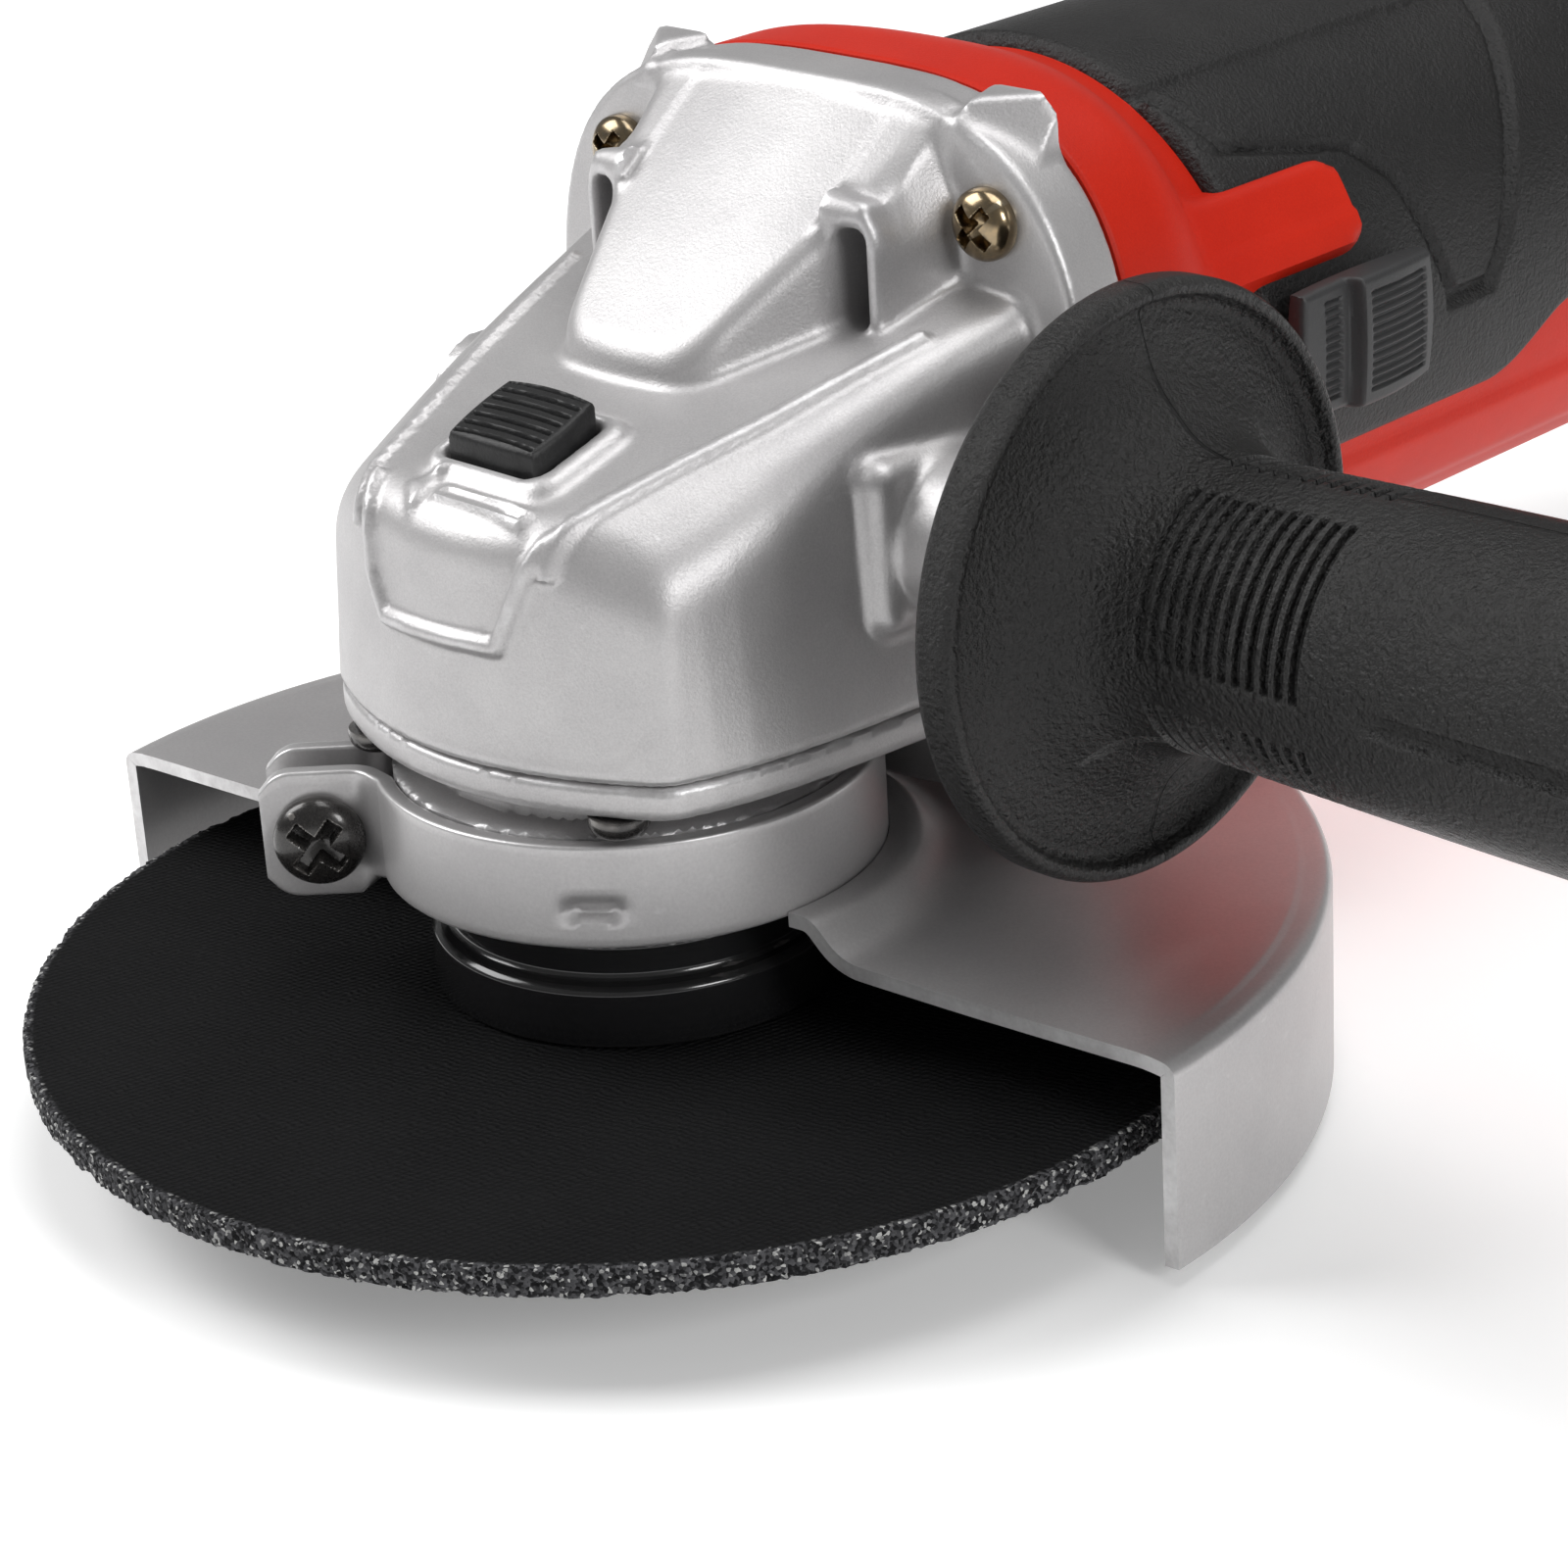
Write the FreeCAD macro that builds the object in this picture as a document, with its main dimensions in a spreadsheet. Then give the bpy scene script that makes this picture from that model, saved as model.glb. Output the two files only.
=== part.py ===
"""A 125 mm angle grinder as a parametric assembly of its separate pieces.

The origin lies on the spindle axis, on the seat that the grinding disc rests against.
+Z runs up the spindle into the gear head, +Y runs back along the motor, and the side
handle is screwed into the +X side. All lengths are in millimetres.
"""
import FreeCAD, Part

import math
import os

import Sketcher

SHEET = "Dimensions"

DIMENSIONS = {
    # grinding disc and its clamping parts
    "disc_radius": 62.5,
    "disc_thickness": 3.0,
    "disc_bore": 12.6,
    "ring_bore": 11.15,
    "flange_radius": 21.0,
    "flange_rim": 4.7,
    "flange_hub": 19.3,
    "flange_height": 10.5,
    "flange_spigot": 11.0,
    "spigot_depth": 2.0,
    "nut_radius": 20.5,
    "nut_flange": 5.0,
    "nut_hub": 13.0,
    "nut_height": 8.0,
    "nut_hole": 2.5,
    "nut_hole_circle": 15.0,
    "thread_bore": 7.05,
    # spindle
    "spindle_thread": 7.0,
    "spindle_end": -13.0,
    "spindle_collar": 8.5,
    "spindle_seat": 6.0,
    "gear_seat": 5.5,
    "spindle_neck": 4.7,
    "spindle_nose": 4.0,
    "spindle_top": 55.5,
    "circlip_radius": 7.5,
    "circlip_thickness": 1.2,
    # bearing cover, neck and spindle bearing
    "neck_radius": 23.3,
    "neck_bottom": 12.0,
    "neck_top": 23.8,
    "waist_radius": 19.5,
    "cover_plate": 26.8,
    "parting": 30.3,
    "cover_half_width": 20.8,
    "cover_front": 23.0,
    "cover_back": 22.0,
    "cover_chamfer": 6.0,
    "cover_bore": 9.0,
    "felt_radius": 13.0,
    "felt_bottom": 14.5,
    "bearing_radius": 16.0,
    "bearing_bottom": 17.0,
    "bearing_top": 27.0,
    "race_outer": 12.9,
    "race_inner": 8.6,
    "ball_circle": 10.75,
    "ball_radius": 2.1,
    "cover_screw_place": 17.3,
    "cover_screw_head": 3.0,
    "cover_screw_shank": 1.9,
    "cover_screw_length": 12.0,
    # bevel gears: their cones meet at the motor axis, above the spindle
    "motor_axis": 48.5,
    "crown_teeth": 37,
    "pinion_teeth": 11,
    "crown_pitch": 18.5,
    "pinion_pitch": 5.5,
    "tooth_inner": 14.0,
    "crown_addendum": 0.8,
    "pinion_addendum": 0.9,
    "dedendum": 1.2,
    "crown_tooth_half": 0.5,
    "pinion_tooth_half": 0.55,
    "tooth_slope": 0.36,
    "crown_hub": 8.5,
    "crown_hub_bottom": 27.2,
    "crown_bottom": 34.0,
    "crown_rim": 18.8,
    "crown_web": 40.0,
    "web_radius": 13.4,
    "lock_holes": 12,
    "lock_hole_radius": 1.9,
    "lock_circle": 10.6,
    # gear housing
    "housing_front": 23.0,
    "flange_front": 28.5,
    "housing_back": 36.0,
    "housing_half": 36.5,
    "housing_corner": 12.0,
    "gear_chamber": 19.8,
    "chamber_top": 46.0,
    "bush_outer": 5.5,
    "bush_inner": 4.06,
    "bush_bottom": 49.5,
    "bush_top": 55.8,
    "pinion_chamber": 8.0,
    "pinion_chamber_front": 8.6,
    "front_bearing_radius": 13.0,
    "front_bearing_start": 26.0,
    "front_bearing_end": 34.0,
    "air_ring_outer": 29.5,
    "air_ring_inner": 17.0,
    "air_ring_depth": 9.0,
    "slot_place": 15.5,
    "slot_width": 4.0,
    "slot_front": 15.0,
    "slot_length": 13.0,
    "boss_radius": 12.0,
    "boss_reach": 36.0,
    "boss_root": 22.0,
    "socket_radius": 3.4,
    "socket_depth": 13.0,
    "handle_y": 16.0,
    "handle_z": 47.5,
    "head_screw_place": 25.0,
    "head_screw_head": 3.3,
    "head_screw_shank": 2.0,
    "head_screw_length": 18.0,
    "head_screw_cap": 3.0,
    "screw_pocket": 4.0,
    "nose_half": 17.0,
    "nose_top": 50.0,
    "nose_corner": 5.0,
    "face_y": -20.0,
    "face_half": 21.0,
    "face_top": 53.5,
    "face_corner": 3.5,
    "middle_y": 0.0,
    "middle_half": 24.5,
    "middle_top": 61.0,
    "middle_corner": 5.0,
    "rear_y": 22.5,
    "rear_half": 29.5,
    "rear_top": 73.0,
    "rear_corner": 8.0,
    "throat_half": 31.5,
    "throat_top": 77.0,
    "throat_bottom": 22.0,
    "throat_corner": 11.0,
    # spindle lock
    "button_y": -11.5,
    "button_width": 12.0,
    "button_length": 10.0,
    "button_bottom": 54.6,
    "button_top": 60.6,
    "button_gap": 0.3,
    "lock_floor": 49.5,
    "lock_pin_radius": 1.6,
    "lock_pin_bottom": 41.2,
    "lock_pin_top": 59.4,
    "lock_pin_bore": 1.75,
    "spring_radius": 2.6,
    "spring_wire": 0.3,
    "spring_turns": 6,
    "spring_chamber": 3.5,
    # guard
    "guard_radius": 69.0,
    "guard_sheet": 1.5,
    "guard_top": 9.8,
    "guard_rise": 13.6,
    "guard_cone": 30.0,
    "guard_bottom": -11.5,
    "guard_chord": 6.2,
    "guard_turned": 5.6,
    "collar_bore": 23.38,
    "collar_radius": 25.3,
    "collar_bottom": 13.0,
    "collar_top": 23.6,
    "ear_angle": 224.0,
    "ear_gap": 2.2,
    "ear_sheet": 1.8,
    "ear_reach": 36.5,
    "ear_bottom": 10.2,
    "ear_screw_place": 30.8,
    "ear_screw_z": 16.6,
    "clamp_head": 4.6,
    "clamp_head_height": 3.0,
    "clamp_shank": 2.5,
    "clamp_bore": 2.55,
    "clamp_nut": 4.6,
    "clamp_nut_height": 3.6,
    "clamp_tail": 1.5,
    # side handle
    "handle_hub": 11.0,
    "handle_start": 36.3,
    "handle_flange_back": 51.0,
    "handle_flange_front": 54.0,
    "handle_flange": 28.0,
    "handle_dish": 20.0,
    "handle_cone_end": 72.0,
    "handle_grip": 16.0,
    "handle_end": 172.0,
    "handle_tip": 14.5,
    "stud_radius": 4.0,
    "stud_thread": 3.33,
    "stud_end": 24.5,
    "stud_inner_end": 78.0,
    # motor shaft and what it carries
    "pinion_shaft": 2.15,
    "pinion_bore": 2.2,
    "shaft_start": 9.5,
    "pinion_nut_start": 9.8,
    "pinion_nut_end": 13.6,
    "pinion_nut_radius": 3.0,
    "pinion_hub": 6.0,
    "pinion_hub_end": 24.0,
    "shaft_seat": 5.0,
    "shaft_seat_end": 36.0,
    "shaft_body": 5.5,
    "shaft_body_end": 138.0,
    "shaft_tail": 3.5,
    "shaft_end": 148.0,
    "front_race_outer": 10.4,
    "front_race_inner": 7.4,
    "front_ball_circle": 8.9,
    "front_ball_radius": 1.45,
    "retainer_inner": 9.0,
    "retainer_outer": 16.0,
    "retainer_sheet": 1.5,
    "fan_start": 39.5,
    "fan_radius": 29.5,
    "fan_hub": 10.0,
    "fan_disc_start": 49.5,
    "fan_end": 51.0,
    "fan_blades": 13,
    "fan_blade_width": 1.6,
    "core_radius": 15.5,
    "core_start": 66.0,
    "core_end": 108.0,
    "core_slots": 12,
    "core_slot_width": 2.2,
    "core_slot_depth": 6.5,
    "winding_radius": 14.2,
    "winding_inner": 5.5,
    "winding_reach": 8.0,
    "commutator_radius": 11.0,
    "commutator_start": 120.0,
    "commutator_end": 134.0,
    "rear_bearing_start": 140.0,
    "rear_bearing_end": 146.0,
    "rear_bearing_radius": 9.5,
    "rear_race_outer": 7.6,
    "rear_race_inner": 5.2,
    "rear_ball_circle": 6.4,
    "rear_ball_radius": 1.15,
    "boot_radius": 11.5,
    "boot_end": 147.5,
    # stator and brushes
    "stator_bore": 16.1,
    "stator_radius": 26.0,
    "stator_start": 65.0,
    "stator_end": 109.0,
    "coil_inner": 17.0,
    "coil_outer": 25.0,
    "coil_reach": 7.0,
    "stator_screw": 1.9,
    "stator_screw_place": 22.0,
    "stator_screw_head": 3.2,
    "stator_screw_cap": 2.5,
    "brush_y": 127.0,
    "brush_width": 6.0,
    "brush_height": 10.0,
    "brush_start": 11.0,
    "brush_length": 9.0,
    "holder_wall": 1.2,
    "holder_start": 12.5,
    "holder_end": 25.5,
    # motor housing
    "ring_end": 50.0,
    "fan_chamber": 31.5,
    "fan_chamber_end": 54.5,
    "baffle_start": 52.0,
    "baffle_end": 54.4,
    "baffle_inner": 19.0,
    "body_front_radius": 33.4,
    "body_front": 58.0,
    "body_radius": 31.5,
    "body_bore": 28.5,
    "body_end": 150.0,
    "bearing_wall_start": 136.0,
    "bearing_wall": 3.0,
    "spigot_radius": 28.6,
    "spigot_bore": 26.0,
    "spigot_end": 162.0,
    "overlay_thickness": 1.6,
    "overlay_start": 64.0,
    "overlay_end": 149.0,
    "overlay_angle": 190.0,
    # switch
    "slider_start": 62.0,
    "slider_end": 84.0,
    "slider_travel": 7.0,
    "slider_reach": 37.5,
    "slider_base": 33.6,
    "slider_half_height": 7.0,
    "slider_z": 52.5,
    "slider_leg_start": 70.0,
    "slider_leg_end": 76.0,
    "slider_leg_half": 3.0,
    "rod_inner": 26.4,
    "rod_outer": 27.2,
    "rod_half_height": 3.0,
    "rod_end": 160.0,
    "rod_arm": 4.0,
    "rod_arm_reach": 4.0,
    "switch_start": 160.6,
    "switch_end": 186.0,
    "switch_half_width": 9.0,
    "switch_low": 38.0,
    "switch_high": 58.0,
    "capacitor_radius": 6.0,
    "capacitor_x": -16.0,
    "capacitor_z": 40.0,
    "capacitor_start": 168.0,
    "capacitor_end": 188.0,
    # rear cover
    "rear_start": 150.3,
    "rear_bore": 28.75,
    "rear_waist_radius": 27.5,
    "rear_waist": 190.0,
    "rear_end": 212.0,
    "rear_wall": 2.6,
    "gland_bore": 3.6,
    "gland_radius": 6.0,
    "gland_flange": 8.0,
    "gland_start": 204.0,
    "gland_end": 221.0,
    "rear_screw_y": 156.0,
    "rear_screw_head": 3.0,
    "rear_screw_shank": 1.6,
    "clamp_bar_y": 199.8,
    "clamp_bar_length": 22.0,
    "clamp_bar_width": 7.0,
    "clamp_bar_height": 3.5,
    "clamp_bar_z": 40.5,
}


class Size:
    """A length together with the sheet formula that gives it."""

    def __init__(self, value, formula):
        self.value = value
        self.formula = formula

    def _joined(self, sign, other, result):
        if isinstance(other, Size):
            return Size(result, "(%s %s %s)" % (self.formula, sign, other.formula))
        return Size(result, "(%s %s %.9g)" % (self.formula, sign, other))

    def __add__(self, other):
        return self._joined("+", other, self.value + plain(other))

    def __radd__(self, other):
        return self + other

    def __sub__(self, other):
        return self._joined("-", other, self.value - plain(other))

    def __mul__(self, other):
        return self._joined("*", other, self.value * plain(other))

    def __truediv__(self, other):
        return self._joined("/", other, self.value / plain(other))

    def __neg__(self):
        return Size(-self.value, "(0 - %s)" % self.formula)


class Sizes:
    """Gives each dimension of the sheet as a Size, by its alias."""

    def __getattr__(self, alias):
        return Size(DIMENSIONS[alias], "%s.%s" % (SHEET, alias))


def plain(size):
    """The number that a Size or a number stands for."""
    return size.value if isinstance(size, Size) else size


def bind(feature, prop, size):
    """Bind a property of a feature to the sheet."""
    if isinstance(size, Size):
        feature.setExpression(prop, size.formula)
    else:
        setattr(feature, prop, size)


doc = FreeCAD.newDocument("angle_grinder")
sheet = doc.addObject("Spreadsheet::Sheet", SHEET)
for row, (alias, number) in enumerate(DIMENSIONS.items(), start=1):
    sheet.set("A%d" % row, alias)
    sheet.set("B%d" % row, "%.9g" % number)
    sheet.setAlias("B%d" % row, alias)
doc.recompute()

d = Sizes()
FULL_TURN = 360.0
HEXAGON = 6
BALLS = 9
NUT_HOLES = 4
SCREWS = 4
OUT_OF_REACH = 40.0
COIL_ARC = 130.0
BRUSH_SPRING_RADIUS = 2.0
BRUSH_SPRING_WIRE = 0.3
BRUSH_SPRING_TURNS = 4


# ---------------------------------------------------------------- frames that pieces sit in

def spindle_frame(turn=0.0):
    """Local Z is the spindle axis; the piece may be turned about it."""
    return (0.0, 0.0, 0.0), FreeCAD.Rotation(FreeCAD.Vector(0, 0, 1), turn)


def motor_frame(turn=0.0):
    """Local Z is the motor axis, +Y of the grinder; unturned, local Y points down."""
    spin = FreeCAD.Rotation(FreeCAD.Vector(0, 0, 1), turn)
    return (0.0, 0.0, d.motor_axis), FreeCAD.Rotation(FreeCAD.Vector(1, 0, 0), -90) * spin


def switch_frame():
    """The motor frame turned so that local X points up and local Y to the switch's side."""
    return motor_frame(-90)


def handle_frame():
    """Local Z is the side handle's axis, +X of the grinder."""
    return (0.0, d.handle_y, d.handle_z), FreeCAD.Rotation(FreeCAD.Vector(0, 1, 0), 90)


def new_body(label, frame):
    """A PartDesign body with its own label, placed in the given frame."""
    body = doc.addObject("PartDesign::Body", label)
    body.Label = label
    base, rotation = frame
    body.Placement = FreeCAD.Placement(FreeCAD.Vector(*[plain(part) for part in base]), rotation)
    for letter, part in zip("xyz", base):
        if isinstance(part, Size):
            body.setExpression(".Placement.Base.%s" % letter, part.formula)
    return body


def origin_feature(body, role):
    """One of the body's own origin planes or axes."""
    return [item for item in body.Origin.OriginFeatures if item.Role == role][0]


# ---------------------------------------------------------------- sketches

def new_sketch(body, plane="XY_Plane", offset=0.0):
    """An empty sketch on one of the body's origin planes, moved along its normal."""
    sketch = body.newObject("Sketcher::SketchObject", body.Label + "_sketch")
    sketch.AttachmentSupport = [(origin_feature(body, plane), "")]
    sketch.MapMode = "FlatFace"
    sketch.AttachmentOffset = FreeCAD.Placement(
        FreeCAD.Vector(0, 0, plain(offset)), FreeCAD.Rotation())
    if isinstance(offset, Size):
        sketch.setExpression(".AttachmentOffset.Base.z", offset.formula)
    return sketch


def constrain(sketch, kind, line, point, size):
    """Hold a point of the sketch at a distance from its origin."""
    index = sketch.addConstraint(Sketcher.Constraint(kind, -1, 1, line, point, plain(size)))
    if isinstance(size, Size):
        sketch.setExpression("Constraints[%d]" % index, size.formula)


def add_outline(sketch, points):
    """Add a closed outline of straight lines, each corner held by its two distances."""
    first = sketch.GeometryCount
    corners = [FreeCAD.Vector(plain(u), plain(v), 0) for u, v in points]
    count = len(corners)
    for index, corner in enumerate(corners):
        following = corners[(index + 1) % count]
        sketch.addGeometry(Part.LineSegment(corner, following), False)
    for index in range(count):
        sketch.addConstraint(Sketcher.Constraint(
            "Coincident", first + index, 2, first + (index + 1) % count, 1))
    for index, (u, v) in enumerate(points):
        constrain(sketch, "DistanceX", first + index, 1, u)
        constrain(sketch, "DistanceY", first + index, 1, v)


def add_circle(sketch, u, v, radius):
    """Add a circle whose centre and radius are held."""
    line = sketch.GeometryCount
    centre = FreeCAD.Vector(plain(u), plain(v), 0)
    sketch.addGeometry(Part.Circle(centre, FreeCAD.Vector(0, 0, 1), plain(radius)), False)
    constrain(sketch, "DistanceX", line, 3, u)
    constrain(sketch, "DistanceY", line, 3, v)
    index = sketch.addConstraint(Sketcher.Constraint("Radius", line, plain(radius)))
    if isinstance(radius, Size):
        sketch.setExpression("Constraints[%d]" % index, radius.formula)


def rectangle(u_low, u_high, v_low, v_high):
    """The corners of a rectangle."""
    return [(u_low, v_low), (u_high, v_low), (u_high, v_high), (u_low, v_high)]


def chamfered(u_half, v_low, v_high, corner):
    """The corners of a rectangle centred on v with its four corners cut off."""
    return [
        (-u_half + corner, v_low), (u_half - corner, v_low),
        (u_half, v_low + corner), (u_half, v_high - corner),
        (u_half - corner, v_high), (-u_half + corner, v_high),
        (-u_half, v_high - corner), (-u_half, v_low + corner),
    ]


def ring(inner, outer, bottom, top):
    """The half section of a plain ring."""
    return rectangle(inner, outer, bottom, top)


def steps(start, *parts):
    """The half section of a solid shaft: each part is its radius and where it ends."""
    points = [(0.0, start)]
    reached = start
    for radius, end in parts:
        points += [(radius, reached), (radius, end)]
        reached = end
    return points + [(0.0, reached)]


def polygon(radius, sides, turn=0.0):
    """The corners of a regular polygon."""
    angles = [math.radians(turn) + 2 * math.pi * index / sides for index in range(sides)]
    return [(radius * math.cos(angle), radius * math.sin(angle)) for angle in angles]


# ---------------------------------------------------------------- features

def checked(body, feature, grows):
    """Recompute and make sure that the feature adds or removes material."""
    before = body.Tip.Shape.Volume if body.Tip and not body.Tip.Shape.isNull() else 0.0
    body.Tip = feature
    doc.recompute()
    change = feature.Shape.Volume - before
    if (change > 0) != grows or abs(change) < 1e-6:
        raise ValueError("%s in %s changes the volume by %.4f" % (feature.Name, body.Label, change))
    return feature


def revolve(body, points, angle=FULL_TURN, groove=False, extra=()):
    """Turn a half section about the body's local Z axis."""
    sketch = new_sketch(body, "XZ_Plane")
    add_outline(sketch, points)
    for outline in extra:
        add_outline(sketch, outline)
    kind = "PartDesign::Groove" if groove else "PartDesign::Revolution"
    old_tip = body.Tip
    feature = body.newObject(kind, body.Label + ("_groove" if groove else "_turned"))
    body.Tip = old_tip
    feature.Profile = sketch
    feature.ReferenceAxis = (sketch, ["V_Axis"])
    bind(feature, "Angle", angle)
    feature.Midplane = plain(angle) != FULL_TURN
    return checked(body, feature, not groove)


def extrude(body, draw, length, plane="XY_Plane", offset=0.0, cut=False, back=False):
    """Pad or pocket a sketch that the function draw fills in."""
    sketch = new_sketch(body, plane, offset)
    draw(sketch)
    old_tip = body.Tip
    kind = "PartDesign::Pocket" if cut else "PartDesign::Pad"
    feature = body.newObject(kind, body.Label + ("_pocket" if cut else "_pad"))
    body.Tip = old_tip
    feature.Profile = sketch
    bind(feature, "Length", length)
    feature.Reversed = back
    return checked(body, feature, not cut)


def pattern(body, features, count, axis="Z_Axis"):
    """Repeat features evenly about one of the body's axes."""
    old_tip = body.Tip
    repeated = body.newObject("PartDesign::PolarPattern", body.Label + "_pattern")
    repeated.Originals = features
    repeated.Axis = (origin_feature(body, axis), [""])
    repeated.Angle = FULL_TURN
    if isinstance(count, Size):
        repeated.setExpression("Occurrences", count.formula)
        repeated.Occurrences = int(plain(count))
    else:
        repeated.Occurrences = count
    body.Tip = old_tip
    return checked(body, repeated, "Pocket" not in features[0].TypeId)


def turned(label, frame, points, **options):
    """A body made by one revolution."""
    body = new_body(label, frame)
    revolve(body, points, **options)
    return body


def loft(body, sections):
    """A ruled loft through (offset, outline) sections along local Z."""
    sketches = []
    for offset, outline in sections:
        sketch = new_sketch(body, "XY_Plane", offset)
        add_outline(sketch, outline)
        sketches.append(sketch)
    old_tip = body.Tip
    feature = body.newObject("PartDesign::AdditiveLoft", body.Label + "_loft")
    body.Tip = old_tip
    feature.Profile = sketches[0]
    feature.Sections = sketches[1:]
    feature.Ruled = True
    return checked(body, feature, True)


def ball_set(label, frame, circle, radius, middle, count):
    """The balls of a bearing, evenly spaced on their circle."""
    body = new_body(label, frame)
    sketch = new_sketch(body, "XZ_Plane")
    centre = FreeCAD.Vector(plain(circle), plain(middle), 0)
    arc = Part.ArcOfCircle(
        Part.Circle(centre, FreeCAD.Vector(0, 0, 1), plain(radius)), -math.pi / 2, math.pi / 2)
    sketch.addGeometry(arc, False)
    low, high = centre - FreeCAD.Vector(0, plain(radius), 0), centre + FreeCAD.Vector(0, plain(radius), 0)
    sketch.addGeometry(Part.LineSegment(high, low), False)
    sketch.addConstraint(Sketcher.Constraint("Coincident", 0, 2, 1, 1))
    sketch.addConstraint(Sketcher.Constraint("Coincident", 0, 1, 1, 2))
    sketch.addConstraint(Sketcher.Constraint("Vertical", 1))
    constrain(sketch, "DistanceX", 0, 3, circle)
    constrain(sketch, "DistanceY", 0, 3, middle)
    constrain(sketch, "DistanceX", 1, 1, circle)
    index = sketch.addConstraint(Sketcher.Constraint("Radius", 0, plain(radius)))
    sketch.setExpression("Constraints[%d]" % index, radius.formula)
    feature = body.newObject("PartDesign::Revolution", label + "_ball")
    feature.Profile = sketch
    feature.ReferenceAxis = (sketch, ["Edge2"])
    feature.Angle = FULL_TURN
    doc.recompute()
    pattern(body, [feature], count)
    return body


# ---------------------------------------------------------------- disc, flange and nut


def build_disc_group():
    """Everything that is clamped on the spindle's thread."""
    frame = spindle_frame()
    turned("grinding_disc", frame, ring(d.disc_bore, d.disc_radius, -d.disc_thickness, 0.0))
    turned("disc_center_ring", frame, ring(d.ring_bore, d.disc_bore, -d.disc_thickness, 0.0))
    turned("inner_flange", frame, [
        (d.thread_bore, -d.spigot_depth), (d.flange_spigot, -d.spigot_depth),
        (d.flange_spigot, 0.0), (d.flange_radius, 0.0),
        (d.flange_radius, d.flange_rim - 0.8), (d.flange_radius - 0.8, d.flange_rim),
        (d.flange_hub, d.flange_rim), (d.flange_hub, d.flange_height),
        (d.thread_bore, d.flange_height),
    ])
    nut = turned("clamping_nut", frame, [
        (d.thread_bore, -d.disc_thickness), (d.nut_radius, -d.disc_thickness),
        (d.nut_radius, -d.disc_thickness - d.nut_flange + 1.0),
        (d.nut_radius - 1.0, -d.disc_thickness - d.nut_flange),
        (d.nut_hub, -d.disc_thickness - d.nut_flange),
        (d.nut_hub, -d.disc_thickness - d.nut_height),
        (d.thread_bore, -d.disc_thickness - d.nut_height),
    ])
    hole = extrude(
        nut, lambda sketch: add_circle(sketch, d.nut_hole_circle, 0.0, d.nut_hole),
        d.nut_flange - 1.0, offset=-d.disc_thickness - d.nut_flange, cut=True, back=True)
    pattern(nut, [hole], NUT_HOLES)


def build_spindle():
    """The spindle, its bearing, seal, upper bush and circlip."""
    frame = spindle_frame()
    turned("spindle", frame, steps(
        d.spindle_end, (d.spindle_thread, d.flange_height), (d.spindle_collar, d.bearing_bottom),
        (d.spindle_seat, d.crown_hub_bottom), (d.gear_seat, d.crown_web),
        (d.spindle_neck, d.crown_web + d.circlip_thickness), (d.spindle_nose, d.spindle_top)))
    turned("gear_circlip", frame, ring(
        d.spindle_neck, d.circlip_radius, d.crown_web, d.crown_web + d.circlip_thickness))
    turned("spindle_bearing_outer", frame, ring(
        d.race_outer, d.bearing_radius, d.bearing_bottom, d.bearing_top))
    turned("spindle_bearing_inner", frame, ring(
        d.spindle_seat, d.race_inner, d.bearing_bottom, d.bearing_top))
    middle = (d.bearing_bottom + d.bearing_top) / 2
    ball_set("spindle_bearing_balls", frame, d.ball_circle, d.ball_radius, middle, BALLS)
    turned("spindle_bush", frame, ring(d.bush_inner, d.bush_outer, d.bush_bottom, d.bush_top))
    turned("felt_seal", frame, ring(
        d.cover_bore, d.felt_radius, d.felt_bottom, d.bearing_bottom))


# ---------------------------------------------------------------- gears

def toward_apex(outline, share):
    """Shrink a tooth outline towards the point where both gears' cones meet."""
    return [(u * share, v * share) for u, v in outline]


def tooth_outline(root, tip, half, pitch):
    """A straight-sided tooth, wide at its root and narrow at its tip."""
    outward = 1.0 if plain(root) > plain(tip) else -1.0
    root_half = half + (root - pitch) * d.tooth_slope * outward
    tip_half = half + (tip - pitch) * d.tooth_slope * outward
    return [(-root_half, root), (root_half, root), (tip_half, tip), (-tip_half, tip)]


def build_crown_gear():
    """The large bevel gear, with its ring of holes for the lock pin.

    The body's local Z runs along a radius at the back of the gear, where the pinion meets it,
    so the teeth are lofted along it; the pattern turns them about the spindle axis, local Y.
    """
    body = new_body("crown_gear", motor_frame())
    root_depth = d.pinion_pitch + d.dedendum
    inner_share = d.web_radius / d.crown_pitch
    sketch = new_sketch(body, "XY_Plane")
    add_outline(sketch, [
        (d.gear_seat, d.motor_axis - d.crown_web), (d.web_radius, d.motor_axis - d.crown_web),
        (d.web_radius, root_depth * inner_share), (d.crown_pitch, root_depth),
        (d.crown_rim, root_depth), (d.crown_rim, d.motor_axis - d.crown_bottom),
        (d.crown_hub, d.motor_axis - d.crown_bottom),
        (d.crown_hub, d.motor_axis - d.crown_hub_bottom),
        (d.gear_seat, d.motor_axis - d.crown_hub_bottom),
    ])
    blank = body.newObject("PartDesign::Revolution", "crown_gear_blank")
    blank.Profile = sketch
    blank.ReferenceAxis = (sketch, ["V_Axis"])
    blank.Angle = FULL_TURN
    doc.recompute()
    outline = tooth_outline(
        root_depth + 0.15, d.pinion_pitch - d.crown_addendum, d.crown_tooth_half, d.pinion_pitch)
    share = d.tooth_inner / d.crown_pitch
    first = loft(body, [(d.tooth_inner, toward_apex(outline, share)), (d.crown_pitch, outline)])
    pattern(body, [first], d.crown_teeth, "Y_Axis")
    hole = extrude(
        body, lambda sketch: add_circle(sketch, 0.0, d.lock_circle, d.lock_hole_radius),
        d.crown_web - d.crown_bottom, plane="XZ_Plane",
        offset=d.crown_web - d.motor_axis, cut=True)
    pattern(body, [hole], d.lock_holes, "Y_Axis")
    return body


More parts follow.
